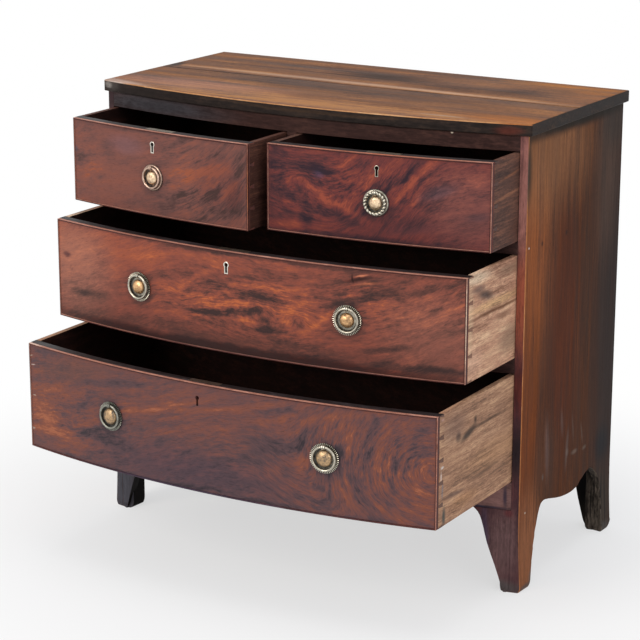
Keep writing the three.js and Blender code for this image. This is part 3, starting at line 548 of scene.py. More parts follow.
# Sawn and polished boards: straight upright streaks under a dull, uneven polish, with painted light on them.
side_wood_painted_falloff = wood(
    "mahogany_side_painted_falloff", SIDE_TONES, SIDE, length=150, figure=20, spread=0.13, wander=8, ragged=2,
    mix=(0.38, 0.42, 0.05, 0.15), shine=0.03, seed=6.0,
    patches=(
        # The large patches paint the light falling off from front to back: red brown in front, grey and
        # black at the back.
        (640, -20, 340, 170, 0, "#965630", 0.8), (300, -30, 360, 115, 0, "#7c401c", 0.75),
        (820, 60, 180, 260, 0, "#926444", 0.7), (480, 130, 420, 110, 0, "#562612", 0.65),
        (450, 360, 700, 150, 0, "#2e2320", 0.95), (210, 60, 150, 90, 0, "#603a24", 0.5),
        (740, 310, 260, 80, 0, "#544238", 0.6), (840, 340, 90, 100, 0, "#38302b", 0.75),
        (250, 75, 90, 14, -4, "#6a544e", 0.6), (225, 165, 60, 9, 4, "#6a5c56", 0.5),
        (210, 200, 7, 20, 4, "#7c6c60", 0.55), (240, 232, 34, 5, -12, "#6c5a50", 0.5),
        (205, 246, 6, 14, -6, "#786a5e", 0.5), (218, 168, 12, 9, 0, "#74645a", 0.5),
        (262, 190, 44, 5, -8, "#665248", 0.45), (285, 140, 40, 9, -8, "#62504a", 0.5),
        (190, 330, 60, 50, 0, "#1c1c20", 0.9), (200, 60, 10, 5, 0, "#6a605a", 0.7),
        (60, 0, 190, 90, 0, "#9a6240", 0.85), (16, 12, 24, 16, 0, "#6c625c", 0.9),
        (6, -10, 9, 40, 0, "#5a524c", 0.8), (60, 320, 120, 90, 0, "#40382f", 0.9),
        (60, 330, 110, 7, 3, "#141010", 0.9), (70, 350, 120, 5, 0, "#181312", 0.8),
        (12, 330, 16, 60, 0, "#5a544e", 0.8), (659, -27, 3, 3, 0, "#d8d0c8", 1.0),
        (151, -12, 3, 3, 0, "#d0c8b8", 1.0), (657, 28, 8, 7, 0, "#2c1c18", 0.8),
        # The near black strip at (862, 150), all along the top, is painted shadow under the overhang of the
        # top.
        (657, 132, 8, 7, 0, "#2c1c18", 0.8), (862, 150, 22, 420, 0, "#1e1c18", 0.95),
        (800, -44, 110, 34, 0, "#26241f", 0.95),
    ),
)
ARRIS_TONES = [(0.0, "#8c5430"), (0.5, "#bc7844"), (1.0, "#dca070")]
# The front corner, worn through its polish: an orange line that breaks off in places.
arris_wood = wood(
    "mahogany_worn_arris", ARRIS_TONES, SIDE, length=60, seed=13.0,
    patches=(
        (800, -40, 90, 30, 0, "#3c3a36", 0.9), (445, -38, 30, 20, 0, "#9c6a54", 0.8),
        (70, -40, 90, 30, 0, "#84523a", 0.7),
    ),
)
STILE_TONES = [(0.0, "#3a2a30"), (0.5, "#523436"), (1.0, "#6a403c")]
# Veneered and polished front edges and brackets: smooth, dusky, scuffed grey at the toes.
stile_wood = wood(
    "mahogany_stile", STILE_TONES, STILE, length=160, ragged=2, shine=0.05, seed=9.0,
    patches=(
        (740, 452, 190, 40, 0, "#ac7468", 0.9), (560, 452, 150, 40, 0, "#a85c44", 0.9),
        (400, 452, 70, 40, 0, "#602e28", 0.8), (275, 452, 80, 40, 0, "#2c2628", 0.9),
        (740, -452, 180, 40, 0, "#7c5450", 0.8), (560, -452, 130, 40, 0, "#7c4438", 0.8),
        (60, -440, 220, 90, 0, "#4a4a50", 0.95), (90, 428, 120, 60, 0, "#6c5250", 0.85),
        (158, 438, 12, 12, 0, "#642c2c", 0.6), (8, 430, 22, 60, 0, "#58504e", 0.9),
        (60, 392, 170, 14, 0, "#463e52", 0.8), (850, -452, 50, 40, 0, "#30282a", 0.85),
    ),
)
WEATHERED_TONES = [(0.0, "#14100e"), (0.4, "#3a332c"), (0.7, "#5a5046"), (1.0, "#786a5c")]
# Sawn wood that never had polish: grey and dry, with thin black lines, and a near black band low across it
# that is painted shade under the arch.
weathered_wood = wood(
    "mahogany_weathered", WEATHERED_TONES, STILE, length=40, spread=0.08, shine=0.03, seed=18.0,
    patches=(
        # The near black band at 100 mm on each side is painted shade under the arch.
        (100, 404, 170, 34, 0, "#0a0808", 1.0), (100, -404, 170, 34, 0, "#0a0808", 1.0),
        (90, 446, 60, 3, 3, "#100c0c", 0.9), (60, 436, 50, 2.4, -3, "#100c0c", 0.9),
    ),
)
FOOT_SHADE_TONES = [(0.0, "#070505"), (0.5, "#0e0a09"), (1.0, "#1c1613")]
# The hidden faces of the feet: painted black, as painted shade.
foot_shade_wood = wood("mahogany_foot_painted_shade", FOOT_SHADE_TONES, SIDE, shine=0.02, seed=19.0)

# %% [markdown]
# ## Rails and cock beads
# The rails stand back between the drawers and have kept their dark polish. A cock bead is a thin rounded
# strip let into the edge of each front. Its upper and right hand edges have been rubbed pale by hands and
# dusters, which draws a fine light line round every drawer.

# %% Wood for the rails and beads
RAIL_TONES = [(0.0, "#2a1e1c"), (0.5, "#402c28"), (1.0, "#5a3e36")]
# Veneered and polished rails: brown in the shade, blue grey at the upper left, and painted light in pink on
# the apron.
rail_wood = wood(
    "mahogany_rail", RAIL_TONES, FRONT, ragged=2, shine=0.05, seed=7.0,
    patches=(
        (-330, 850, 260, 30, 0, "#424246", 0.8), (320, 862, 3.4, 2.4, 0, "#e0d0b8", 1.0),
        # The pink patch on the apron is painted light, lifting it out of the shade under the bottom drawer.
        (400, 190, 140, 50, 0, "#8a6660", 0.9), (380, 166, 90, 5, 0, "#2c2a3a", 0.9),
        (432, 190, 6, 34, 0, "#2e2c3c", 0.8),
    ),
)
BEAD_TONES = [(0.0, "#3a2224"), (0.5, "#54302c"), (1.0, "#6e4236")]
# Planed and polished bead: dark red, where nobody touches it.
bead_wood = wood(
    "mahogany_bead", BEAD_TONES, FRONT, seed=8.0,
    patches=(
        (-440, 320, 12, 130, 0, "#504a4e", 0.85), (-60, 219, 480, 7, 0, "#3c3444", 0.85),
    ),
)
RUBBED_TONES = [(0.0, "#8a5a4a"), (0.5, "#b07a66"), (1.0, "#d49e8a")]
# The same bead, rubbed bare: pale pink brown, nearly white at the corners.
rubbed_wood = wood(
    "mahogany_bead_rubbed", RUBBED_TONES, FRONT, length=40, seed=17.0,
    patches=(
        (-12, 750, 8, 90, 0, "#c07848", 0.8), (441, 560, 12, 120, 0, "#e4c8ac", 0.9),
        (230, 836, 240, 9, 0, "#b0603c", 0.8), (-60, 218, 420, 10, 0, "#5c5066", 0.9),
        (0, 456, 500, 8, 0, "#5a3a38", 0.7), (-432, 424, 40, 10, 0, "#e4c4b0", 0.9),
    ),
)
NEAR_BLACK_EDGE_TONES = [(0.0, "#120e0e"), (0.5, "#262020"), (1.0, "#463e40")]
# The upper edge of a front: near black.
near_black_edge_wood = wood("mahogany_front_top_edge", NEAR_BLACK_EDGE_TONES, TOP, length=60, seed=20.0)

# %% [markdown]
# ## Drawer sides
# The drawers are lined with oak, planed and left bare. The two long ones have dried to pale straw and the
# short ones have gone brown. Thin dark shakes follow the grain, dirt has gathered at the edges, and the
# dovetails show as chips and shadows at the front.

# %% Wood for the drawer sides
BOARD_TONES = {
    "top_left_drawer": [(0.0, "#3c2620"), (0.5, "#56382f"), (1.0, "#754c3c")],
    "top_right_drawer": [(0.0, "#3c2c28"), (0.5, "#62463c"), (1.0, "#8c604c")],
    "middle_drawer": [(0.0, "#845e48"), (0.5, "#c8977a"), (1.0, "#f8d0a6")],
    "bottom_drawer": [(0.0, "#6c5242"), (0.5, "#ae8468"), (1.0, "#dcb28c")],
}
BOARD_SPOTS = {
    "top_left_drawer": (
        (-60, 690, 130, 30, 0, "#70483a", 0.6), (-130, 760, 60, 50, 0, "#38302c", 0.7),
    ),
    "top_right_drawer": (
        (-95, 765, 90, 5, 5, "#9c6a50", 0.8), (-75, 800, 70, 4, 6, "#8c5c44", 0.8),
        (-40, 700, 60, 30, 0, "#5c3e34", 0.6),
    ),
    "middle_drawer": (
        (-200, 640, 90, 18, 0, "#e8ccac", 0.9), (-218, 560, 18, 110, 0, "#e0bc98", 0.7),
        (-160, 602, 50, 14, -14, "#544844", 0.9), (-190, 618, 40, 10, 0, "#6c5a54", 0.7),
        (-120, 566, 170, 5, 0, "#6c4630", 0.9), (-110, 580, 170, 14, 0, "#dcb080", 0.8),
        (-210, 490, 60, 40, 0, "#d8ac90", 0.6), (-60, 500, 70, 40, 0, "#86705c", 0.6),
        (-90, 550, 50, 9, 0, "#7c5a44", 0.6), (-70, 630, 80, 18, 0, "#7c604e", 0.7),
    ),
    "bottom_drawer": (
        (-215, 364, 50, 12, 14, "#3c3633", 0.9), (-255, 368, 14, 16, 0, "#453c38", 0.8),
        (-190, 382, 9, 12, 0, "#3c3430", 0.8), (-150, 367, 120, 5, 0, "#5a463a", 0.8),
        (-150, 275, 90, 7, 3, "#5e4a40", 0.7), (-270, 266, 60, 7, -3, "#5c4a46", 0.7),
        (-270, 390, 70, 40, 0, "#745a50", 0.6), (-120, 300, 170, 40, 0, "#b88c68", 0.6),
        (-230, 245, 80, 20, 0, "#b48660", 0.6), (-313, 327, 9, 4, 0, "#e8dcd0", 1.0),
        (-317, 312, 3.6, 13, 0, "#ecd4c4", 1.0), (-311, 285, 5, 24, 0, "#8c8484", 0.9),
        (-305, 235, 10, 26, 0, "#4a504c", 0.9), (-314, 414, 9, 4, 0, "#d4a898", 0.8),
    ),
}
# Planed bare oak: matt, with straight streaks and a dry, dirty surface.
boards = {
    drawer: wood("oak_side_" + drawer, tones, BOARD, length=70, figure=16, spread=0.11, wander=6, ragged=4,
                 mix=(0.36, 0.3, 0.14, 0.2), rough=(0.55, 0.75), shine=0.1, patches=BOARD_SPOTS[drawer],
                 seed=10.0 + number)
    for number, (drawer, tones) in enumerate(BOARD_TONES.items())
}

# %% [markdown]
# ## Plain wood out of sight
# What nobody was meant to see was made of sawn pine, or of oak, painted nearly black inside the drawers
# as painted shade. It needs no patches: the recipe's own figure is enough for a glance from behind.

# %% Wood for the back and the insides
PINE_TONES = [(0.0, "#3c2a1e"), (0.5, "#5c422c"), (1.0, "#7c5c3c")]
# Sawn pine boards: matt and brown, with broad soft streaks.
pine_wood = wood("pine_carcass", PINE_TONES, TOP, length=200, rough=(0.6, 0.8), seed=11.0)
# The same pine, set upright as the back.
back_wood = wood("pine_back_boards", PINE_TONES, STILE, length=200, rough=(0.6, 0.8), seed=16.0)
INSIDE_SHADE_TONES = [(0.0, "#140b09"), (0.5, "#281612"), (1.0, "#40241c")]
# The insides of the drawers: painted brown black, as painted shade, so that an open drawer looks deep.
inside_shade_wood = wood("oak_drawer_inside_painted_shade", INSIDE_SHADE_TONES, BOARD, rough=(0.6, 0.8), seed=12.0)

# %% [markdown]
# ## The true bow
# The CAD solids have a bow made of flats of 45 mm. On each flat, a point lies behind the true arc by the
# length before it times the length after it, halved and divided by the radius. That is a rule, so a small
# Geometry Nodes tree pushes every point out by just that much. It works for the top and for the rails and
# fronts, with their own radius.

# %% Geometry Nodes: the true bow
BOW_RADIUS = 1934.445 * MM
TOP_RADIUS = 1993.18 * MM


def new_tree(name, sizes):
    """A Geometry Nodes tree with named number inputs and a finish, and the outputs of its group input."""
    tree = bpy.data.node_groups.new(name, "GeometryNodeTree")
    tree.interface.new_socket("Geometry", in_out="INPUT", socket_type="NodeSocketGeometry")
    tree.interface.new_socket("Geometry", in_out="OUTPUT", socket_type="NodeSocketGeometry")
    tree.interface.new_socket("Finish", in_out="INPUT", socket_type="NodeSocketMaterial")
    for size in sizes:
        kind = "NodeSocketInt" if size == "Count" else "NodeSocketFloat"
        tree.interface.new_socket(size, in_out="INPUT", socket_type=kind)
    return tree, add(tree, "NodeGroupInput", take=None).outputs


def end_tree(tree, geometry, finish):
    """Ends a tree: real geometry with its material."""
    real = add(tree, "GeometryNodeRealizeInstances", {"Geometry": geometry})
    real = add(tree, "GeometryNodeSetMaterial", {"Geometry": real, "Material": finish})
    add(tree, "NodeGroupOutput", {"Geometry": real})
    print(tree.name, "has", len(tree.nodes), "nodes")


bow_tree, given = new_tree("true_bow", ["Start", "Step", "Radius"])
spot = add(bow_tree, "GeometryNodeInputPosition")
spot_x = add(bow_tree, "ShaderNodeSeparateXYZ", {0: spot}, take="X")
run = add(bow_tree, "ShaderNodeMath", {0: spot_x, 1: given["Start"]}, operation="SUBTRACT")
run = add(bow_tree, "ShaderNodeMath", {0: run, 1: given["Step"]}, operation="DIVIDE")
part = add(bow_tree, "ShaderNodeMath", {0: run}, operation="FRACT")
rest = add(bow_tree, "ShaderNodeMath", {0: 1.0, 1: part}, operation="SUBTRACT")
bulge = add(bow_tree, "ShaderNodeMath", {0: part, 1: rest}, operation="MULTIPLY")
square = add(bow_tree, "ShaderNodeMath", {0: given["Step"], 1: given["Step"]}, operation="MULTIPLY")
bulge = add(bow_tree, "ShaderNodeMath", {0: bulge, 1: square}, operation="MULTIPLY")
bulge = add(bow_tree, "ShaderNodeMath", {0: bulge, 1: given["Radius"]}, operation="DIVIDE")
bulge = add(bow_tree, "ShaderNodeMath", {0: bulge, 1: -0.5}, operation="MULTIPLY")
shift = add(bow_tree, "ShaderNodeCombineXYZ", {1: bulge})
moved = add(bow_tree, "GeometryNodeSetPosition", {"Geometry": given["Geometry"], "Offset": shift})
end_tree(bow_tree, moved, given["Finish"])

# %% [markdown]
# ## Live modifiers become plain meshes
# A modifier's inputs are set by their identifiers before the piece is first evaluated. The result is made
# a plain mesh and the modifier comes off, so that the export finds nothing live on the piece.

# %% Freeze a shape
def set_inputs(modifier, tree, values):
    """Gives a Geometry Nodes modifier its tree and its numbers."""
    modifier.node_group = tree
    for item in tree.interface.items_tree:
        if item.in_out == "INPUT" and item.name in values:
            modifier[item.identifier] = values[item.name]


def plain(piece):
    """Makes the evaluated shape of a piece its own mesh, and takes its modifiers off."""
    graph = bpy.context.evaluated_depsgraph_get()
    mesh = bpy.data.meshes.new_from_object(piece.evaluated_get(graph), depsgraph=graph)
    mesh.name = piece.name
    piece.modifiers.clear()
    piece.data = mesh
    return mesh


print("The bow tree takes", [item.name for item in bow_tree.interface.items_tree if item.in_out == "INPUT"])

# %% [markdown]
# ## Worn toes
# A chest is dragged over the floor for two centuries, and its feet lose their corners. The lowest 13 mm of
# each foot are cut into layers, and each layer is pulled in towards the middle of the foot, the lowest one
# most.

# %% Wear the toes
MERGE = 0.005 * MM
TOE_HEIGHT = 13 * MM
TOE_WEAR = 5 * MM
TOE_CUTS = (0.12, 0.3, 0.55, 0.95)
TOES = ((-430, -42), (430, -42), (-440, 345), (440, 345))


def cut_across(form, place, normal):
    """Cuts a whole form along a plane and keeps both sides."""
    everything = form.verts[:] + form.edges[:] + form.faces[:]
    bmesh.ops.bisect_plane(form, geom=everything, dist=MERGE, plane_co=place, plane_no=normal)


def wear_toes(form):
    """Rounds the feet over where they have been dragged along the floor."""
    if min(vertex.co.z for vertex in form.verts) > TOE_HEIGHT:
        return
    for share in TOE_CUTS:
        cut_across(form, (0, 0, TOE_HEIGHT * share), (0, 0, 1))
    for vertex in form.verts:
        if vertex.co.z < TOE_HEIGHT:
            spot = vertex.co.xy
            middle = min((Vector(toe) * MM for toe in TOES), key=lambda toe: (toe - spot).length)
            away = spot - middle
            pull = TOE_WEAR * (1 - vertex.co.z / TOE_HEIGHT) ** 2.4
            if away.length > pull:
                vertex.co.xy = spot - away.normalized() * pull


print("The toes lose", round(TOE_WEAR / MM), "mm at the floor")

# %% [markdown]
# ## From a CAD solid to a finished piece
# A CAD solid is loose triangles with sharp edges. A copy of it is merged, cut into strips of 9 mm across
# the bow and pushed out to the true curve. Long edges are then rounded, as two centuries of dusting round
# them, and the normals are weighted by area, so that flat faces stay flat in the light. The feet get their
# worn toes. The inner corners of the sides touch the rails and stay crisp.

# %% Refine a solid
FLAT = math.radians(0.3)
SHARP = math.radians(32)
LONG_EDGE = 12 * MM
BEAD_EDGE = 2.5 * MM
STRIP = 9 * MM
CRISP = 0.12
SIDE_MIDDLE = 452


def refined(node, materials, arris=0.7, bow=None, paint=None):
    """A finer copy of a CAD solid. Paint says which material a face has, by its place and normal."""
    form = bmesh.new()
    form.from_mesh(frame["nodes"][node].data)
    bmesh.ops.remove_doubles(form, verts=form.verts, dist=MERGE)
    bmesh.ops.dissolve_limit(form, angle_limit=FLAT, verts=form.verts, edges=form.edges)
    weight = form.edges.layers.float.new("bevel_weight_edge")
    short = BEAD_EDGE if node.endswith("cock_bead") else LONG_EDGE
    for edge in form.edges:
        if edge.is_convex and edge.calc_length() > short and edge.calc_face_angle(0) > SHARP:
            middle = (edge.verts[0].co + edge.verts[1].co) / 2 / MM
            edge[weight] = CRISP if node.startswith("side") and abs(middle.x) < SIDE_MIDDLE else 1
    if bow:
        start, end, steps, radius = bow
        count = round((end - start) * MM / STRIP / steps) * steps
        for number in range(1, count):
            cut_across(form, ((start + (end - start) * number / count) * MM, 0, 0), (1, 0, 0))
    wear_toes(form)
    mesh = bpy.data.meshes.new(node + "_worn")
    form.to_mesh(mesh)
    form.free()
    piece = bpy.data.objects.new(node + "_worn", mesh)
    bpy.context.collection.objects.link(piece)
    if bow:
        step = (end - start) / steps * MM
        values = {"Start": start * MM, "Step": step, "Radius": radius, "Finish": materials[0]}
        set_inputs(piece.modifiers.new("Bow", "NODES"), bow_tree, values)
    bevel = piece.modifiers.new("Arris", "BEVEL")
    bevel.limit_method = "WEIGHT"
    bevel.width = arris * MM
    bevel.segments = 3
    bevel.use_clamp_overlap = False
    mesh = plain(piece)
    mesh.materials.clear()
    for finish in materials:
        mesh.materials.append(finish)
    for face in mesh.polygons:
        face.material_index = paint(face.center / MM, face.normal) if paint else 0
    mesh.shade_smooth()
    mesh.set_sharp_from_angle(angle=SHARP)
    piece.modifiers.new("Flat faces", "WEIGHTED_NORMAL").keep_sharp = True
    plain(piece)
    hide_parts(node)
    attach(piece, frame["nodes"][node]["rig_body"])
    print(piece.name, "has", len(piece.data.polygons), "faces")
    return piece


# %% [markdown]
# ## The carcass
# The top is two boards glued edge to edge. The sides are single boards that end in the feet, and the rails
# and the divider between the top drawers are thin, dark and worn only along their front edges. One mesh
# can carry several finishes, so a small function looks at where each face lies and which way it faces.

# %% Refine the carcass
TOP_FRONT = -30
REAR_FOOT = 200


def top_paint(spot, normal):
    """0 for the flat faces, 1 for the rubbed front arris and 2 for the dark edge."""
    if abs(normal.z) > 0.8:
        return 0
    return 1 if normal.z > 0.2 and normal.y < -0.2 and spot.y < TOP_FRONT else 2


def side_paint(spot, normal):
    """0 for the board, 1 for its worn front arris, 2 for the front edge and 3 for the rear foot."""
    if spot.y > REAR_FOOT and normal.y < -0.15:
        return 3
    if normal.y < -0.75:
        return 2
    outside = abs(normal.x) > 0.2 and abs(spot.x) > SIDE_MIDDLE and spot.y < 0
    return 1 if normal.y < -0.2 and outside else 0


def foot_paint(spot, normal):
    """0 for faces that look forwards and 1 for the hidden ones, painted in shade."""
    return 0 if normal.y < -0.2 else 1


RAIL_BOW = (-442.7, 442.7, 20, BOW_RADIUS)
TOP_BOW = (-465, 465, 21, TOP_RADIUS)
SIDE_FINISHES = [side_wood_painted_falloff, arris_wood, stile_wood, weathered_wood]
refined("top_board", [top_wood, top_arris, edge_wood], 2.2, TOP_BOW, top_paint)
for end in ("left", "right"):
    refined("side_" + end, SIDE_FINISHES, 1.8, None, side_paint)
for rail, arris in (("top_rail", 0.6), ("upper_rail", 0.6), ("lower_rail", 0.6), ("base_rail", 0.8)):
    refined(rail, [rail_wood], arris, RAIL_BOW)
refined("drawer_divider", [rail_wood], 0.6)
for foot, finish in (("front_foot_", stile_wood), ("rear_foot_", weathered_wood)):
    for end in ("left", "right"):
        # The hidden faces of each foot get painted shade.
        refined(foot + end, [finish, foot_shade_wood], 0.8, None, foot_paint)

# %% [markdown]
# ## The drawers
# Each front has its veneer on the outside and plain wood inside, a thin rounded cock bead let into its
# edge, and sides that meet it in dovetails. What faces into a drawer is painted nearly black, as painted
# shade.

# %% Refine the drawers
BOTTOM_BEAD = 226
DRAWER_SPANS = {
    "top_left_drawer": (-441.5, -11.5, 10),
    "top_right_drawer": (11.5, 441.5, 10),
    "middle_drawer": (-441.5, 441.5, 20),
    "bottom_drawer": (-441.5, 441.5, 20),
}


def front_paint(spot, normal):
    """0 for the veneer, 1 for the inside, painted in shade, and 2 for the upper and lower edges."""
    return 1 if normal.y > 0.5 else 2 if abs(normal.z) > 0.7 else 0


def bead_paint(spot, normal):
    """1 where the bead is rubbed: its upper side, except on the lowest bead, and its right front."""
    above = spot.z > BOTTOM_BEAD and normal.z > 0.35
    return int(above or (normal.x > 0.35 and normal.y < -0.2))


for drawer, (left, right, steps) in DRAWER_SPANS.items():
    bow = (left, right, steps, BOW_RADIUS)
    front = [fronts[drawer], inside_shade_wood, near_black_edge_wood]
    refined(drawer + "_front", front, 0.3, bow, front_paint)
    refined(drawer + "_cock_bead", [bead_wood, rubbed_wood], 1.1, bow, bead_paint)
    for end, hand in (("left", 1), ("right", -1)):
        # Faces that look into the drawer get the painted shade of the inside.
        refined(f"{drawer}_side_{end}", [boards[drawer], inside_shade_wood], 0.6, None,
                lambda spot, normal, hand=hand: int(normal.x * hand > 0.5))

# %% [markdown]
# ## Brass
# The mounts were cast and turned in brass and lacquered. The lacquer has gone: raised edges are rubbed
# pale, and hollows have turned dark brown. The mesh code writes how deep each point lies in an attribute
# called grime, and the material reads it. A cloud of blotches, about 6 mm across, breaks it up, and
# `mottle` says how strongly. On the lock plates only the face that shows along the drawer's edge is clean.

# %% The recipe for aged brass
BLOTCHES = 160.0


def brass(name, clean, grime, rough=(0.28, 0.5), face=False, mottle=1.7):
    """Cast brass with dirt in its hollows. With face, only what faces upwards is clean."""
    made, tree = new_material(name)
    where = add(tree, "ShaderNodeTexCoord", take="Object")
    cloud = {"Vector": where, "Scale": BLOTCHES, "Detail": 4.0, "Roughness": 0.7}
    cloud = add(tree, "ShaderNodeTexNoise", cloud)
    deep = add(tree, "ShaderNodeAttribute", take="Fac", attribute_name="grime")
    if face:
        up = add(tree, "ShaderNodeTexCoord", take="Normal")
        up = add(tree, "ShaderNodeSeparateXYZ", {0: up}, take="Z")
        deep = {"Value": up, "From Min": 0.8, "From Max": 0.3, "To Max": 1.6}
        deep = add(tree, "ShaderNodeMapRange", deep)
    depth = add(tree, "ShaderNodeMath", {0: cloud, 1: mottle, 2: -mottle / 2}, operation="MULTIPLY_ADD")
    depth = add(tree, "ShaderNodeMath", {0: deep, 1: depth}, operation="ADD", use_clamp=True)
    colour = {"Factor": depth, "A": linear(clean), "B": linear(grime)}
    colour = add(tree, "ShaderNodeMix", colour, data_type="RGBA")
    metal = {"Value": depth, "From Min": 0.3, "To Min": 1.0, "To Max": 0.25}
    metal = add(tree, "ShaderNodeMapRange", metal)
    gloss = add(tree, "ShaderNodeMapRange", {"Value": depth, "To Min": rough[0], "To Max": rough[1]})
    normal = add(tree, "ShaderNodeBump", {"Height": cloud, "Strength": 0.3, "Distance": 0.2 * MM})
    skin = {"Base Color": colour, "Metallic": metal, "Roughness": gloss, "Normal": normal}
    surface = add(tree, "ShaderNodeBsdfPrincipled", skin)
    add(tree, "ShaderNodeOutputMaterial", {"Surface": surface})
    print(name, "has", len(tree.nodes), "nodes")
    return made


# Cast and milled rims and rings: silvery edges over black hollows.
pale_brass = brass("brass_pale_worn", "#c2bcac", "#18140c", rough=(0.24, 0.5))
# Turned bosses of the middle drawer: warm gold under brown spots.
gold_brass = brass("brass_gold_boss", "#e0b484", "#5c4028", rough=(0.36, 0.6), mottle=3.2)
# Turned bosses of the top drawers, rubbed to a creamy shine.
cream_brass = brass("brass_cream_boss", "#f8dcb8", "#7a5844", rough=(0.32, 0.6), mottle=3.2)
# Turned bosses of the bottom drawer: tan, blotched with grey.
brown_brass = brass("brass_brown_boss", "#c0a07a", "#565049", rough=(0.38, 0.62), mottle=4.2)
# Filed strip and twisted rope: the brightest metal, nearly white where it catches the light.
bright_brass = brass("brass_escutcheon", "#e8e2d6", "#16120c", rough=(0.22, 0.45))
# The plate that has lost its shine: an even greenish grey.
dull_brass = brass("brass_dull", "#94948a", "#1c1a14", rough=(0.35, 0.6))
# The top left plate and ring, with more copper in them: pinkish.
rosy_brass = brass("brass_rosy", "#ccae9c", "#20140e")
# Rolled lock plates: a dull pale line in the drawer's edge.
plate_brass = brass("brass_lock_plate", "#b8b0a0", "#3a342c", face=True)

# %% [markdown]
# ## Milled teeth and a rope
# The rims of the large plates are milled with fine teeth, and the ring of one small handle is a twisted
# rope. Both repeat round a circle, so Geometry Nodes set small shapes on its points: rods that lie across
# the rim, and egg shaped strands that all lean the same way. The real teeth are about as fine as a pixel
# of the render, so they are drawn a little coarser, 2 mm wide.

# %% Geometry Nodes: milled teeth and a rope
def round_angle(tree, given, turned):
    """The angle of each point of a circle, plus a fixed turn."""
    number = add(tree, "GeometryNodeInputIndex")
    share = add(tree, "ShaderNodeMath", {0: number, 1: given["Count"]}, operation="DIVIDE")
    return add(tree, "ShaderNodeMath", {0: share, 1: 2 * math.pi, 2: turned}, operation="MULTIPLY_ADD")


teeth_tree, given = new_tree("milled_teeth", ["Count", "Radius", "Long", "Wide"])
circle = add(teeth_tree, "GeometryNodeMeshCircle", {"Vertices": given["Count"], "Radius": given["Radius"]})
half = add(teeth_tree, "ShaderNodeMath", {0: given["Wide"], 1: 0.5}, operation="MULTIPLY")
tooth = add(teeth_tree, "GeometryNodeMeshCylinder", {"Vertices": 8, "Radius": half, "Depth": given["Long"]})
lying = {"Y": math.pi / 2, "Z": round_angle(teeth_tree, given, 0.0)}
lying = add(teeth_tree, "ShaderNodeCombineXYZ", lying)
lying = add(teeth_tree, "FunctionNodeEulerToRotation", {0: lying})
row = {"Points": circle, "Instance": tooth, "Rotation": lying}
end_tree(teeth_tree, add(teeth_tree, "GeometryNodeInstanceOnPoints", row), given["Finish"])

rope_tree, given = new_tree("twisted_rope", ["Count", "Radius", "Long", "Wide", "Tall", "Tilt"])
circle = add(rope_tree, "GeometryNodeMeshCircle", {"Vertices": given["Count"], "Radius": given["Radius"]})
strand = add(rope_tree, "GeometryNodeMeshUVSphere", {"Segments": 10, "Rings": 6, "Radius": 1.0})
tilted = add(rope_tree, "ShaderNodeCombineXYZ", {"Z": round_angle(rope_tree, given, given["Tilt"])})
tilted = add(rope_tree, "FunctionNodeEulerToRotation", {0: tilted})
sizes = {"X": given["Long"], "Y": given["Wide"], "Z": given["Tall"]}
sizes = add(rope_tree, "ShaderNodeCombineXYZ", sizes)
row = {"Points": circle, "Instance": strand, "Rotation": tilted, "Scale": sizes}
end_tree(rope_tree, add(rope_tree, "GeometryNodeInstanceOnPoints", row), given["Finish"])

TEETH = {"Count": 48, "Radius": 25.3 * MM, "Long": 4.9 * MM, "Wide": 2.0 * MM, "Finish": pale_brass}
STRANDS = {"Count": 19, "Radius": 19.4 * MM, "Long": 4.4 * MM, "Wide": 2.5 * MM, "Tall": 2.9 * MM,
           "Tilt": math.radians(52), "Finish": bright_brass}

# %% [markdown]
# ## Points that carry their dirt
# Rings and strips are closed loops of rows of points, so one helper joins them all. Every point also
# carries its dirt. A finished form is turned and moved to its place in its own mesh, so that the object
# stays at the origin and the material's pattern stays on it when a drawer moves.

# %% Points, loops and placing
def new_form():
    """An empty form and its layer for the dirt in each point."""
    form = bmesh.new()
    return form, form.verts.layers.float.new("grime")


def point(form, grime, spot, dirt):
    """Adds a point, its place in millimetres, with its dirt."""
    vertex = form.verts.new(Vector(spot) * MM)
    vertex[grime] = dirt
    return vertex


def join_loop(form, rows):
    """Joins each row of points to the next, and the last row to the first."""
    for number, low in enumerate(rows):
        high = rows[(number + 1) % len(rows)]
        for i in range(len(low)):
            j = (i + 1) % len(low)
            form.faces.new((low[i], low[j], high[j], high[i]))


def place_on(centre, across):
    """The matrix from a mount's own axes to the chest."""
    x = Vector((across[0], across[1], 0))
    y = Vector((-across[1], across[0], 0))
    turn = Matrix((x, y, Vector((0, 0, 1)))).transposed().to_4x4()
    return Matrix.Translation(Vector(centre) * MM) @ turn


def finished(name, form, matrix, materials, body, nodes=()):
    """Makes a form a smooth piece of brass in its place, on its body."""
    bmesh.ops.recalc_face_normals(form, faces=form.faces)
    mesh = bpy.data.meshes.new(name)
    form.normal_update()
    form.to_mesh(mesh)
    form.free()
    mesh.transform(matrix)
    for finish in materials:
        mesh.materials.append(finish)
    mesh.shade_smooth()
    mesh.set_sharp_from_angle(angle=SHARP)
    piece = bpy.data.objects.new(name, mesh)
    bpy.context.collection.objects.link(piece)
    if nodes:
        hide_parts(*nodes)
    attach(piece, body)
    print(name, "has", len(mesh.polygons), "faces")


print("A mount's outward axis is", [round(v) for v in place_on((0, 0, 0), (1, 0)) @ Vector((0, -1, 0))])

# %% [markdown]
# ## A lathe and grown trim
# Turned brass is drawn as it is made: a section is swept round an axis. What a tree grows is added to the
# same mesh, so that a handle stays one piece.

# %% Lathe and trim
ROUND = 96


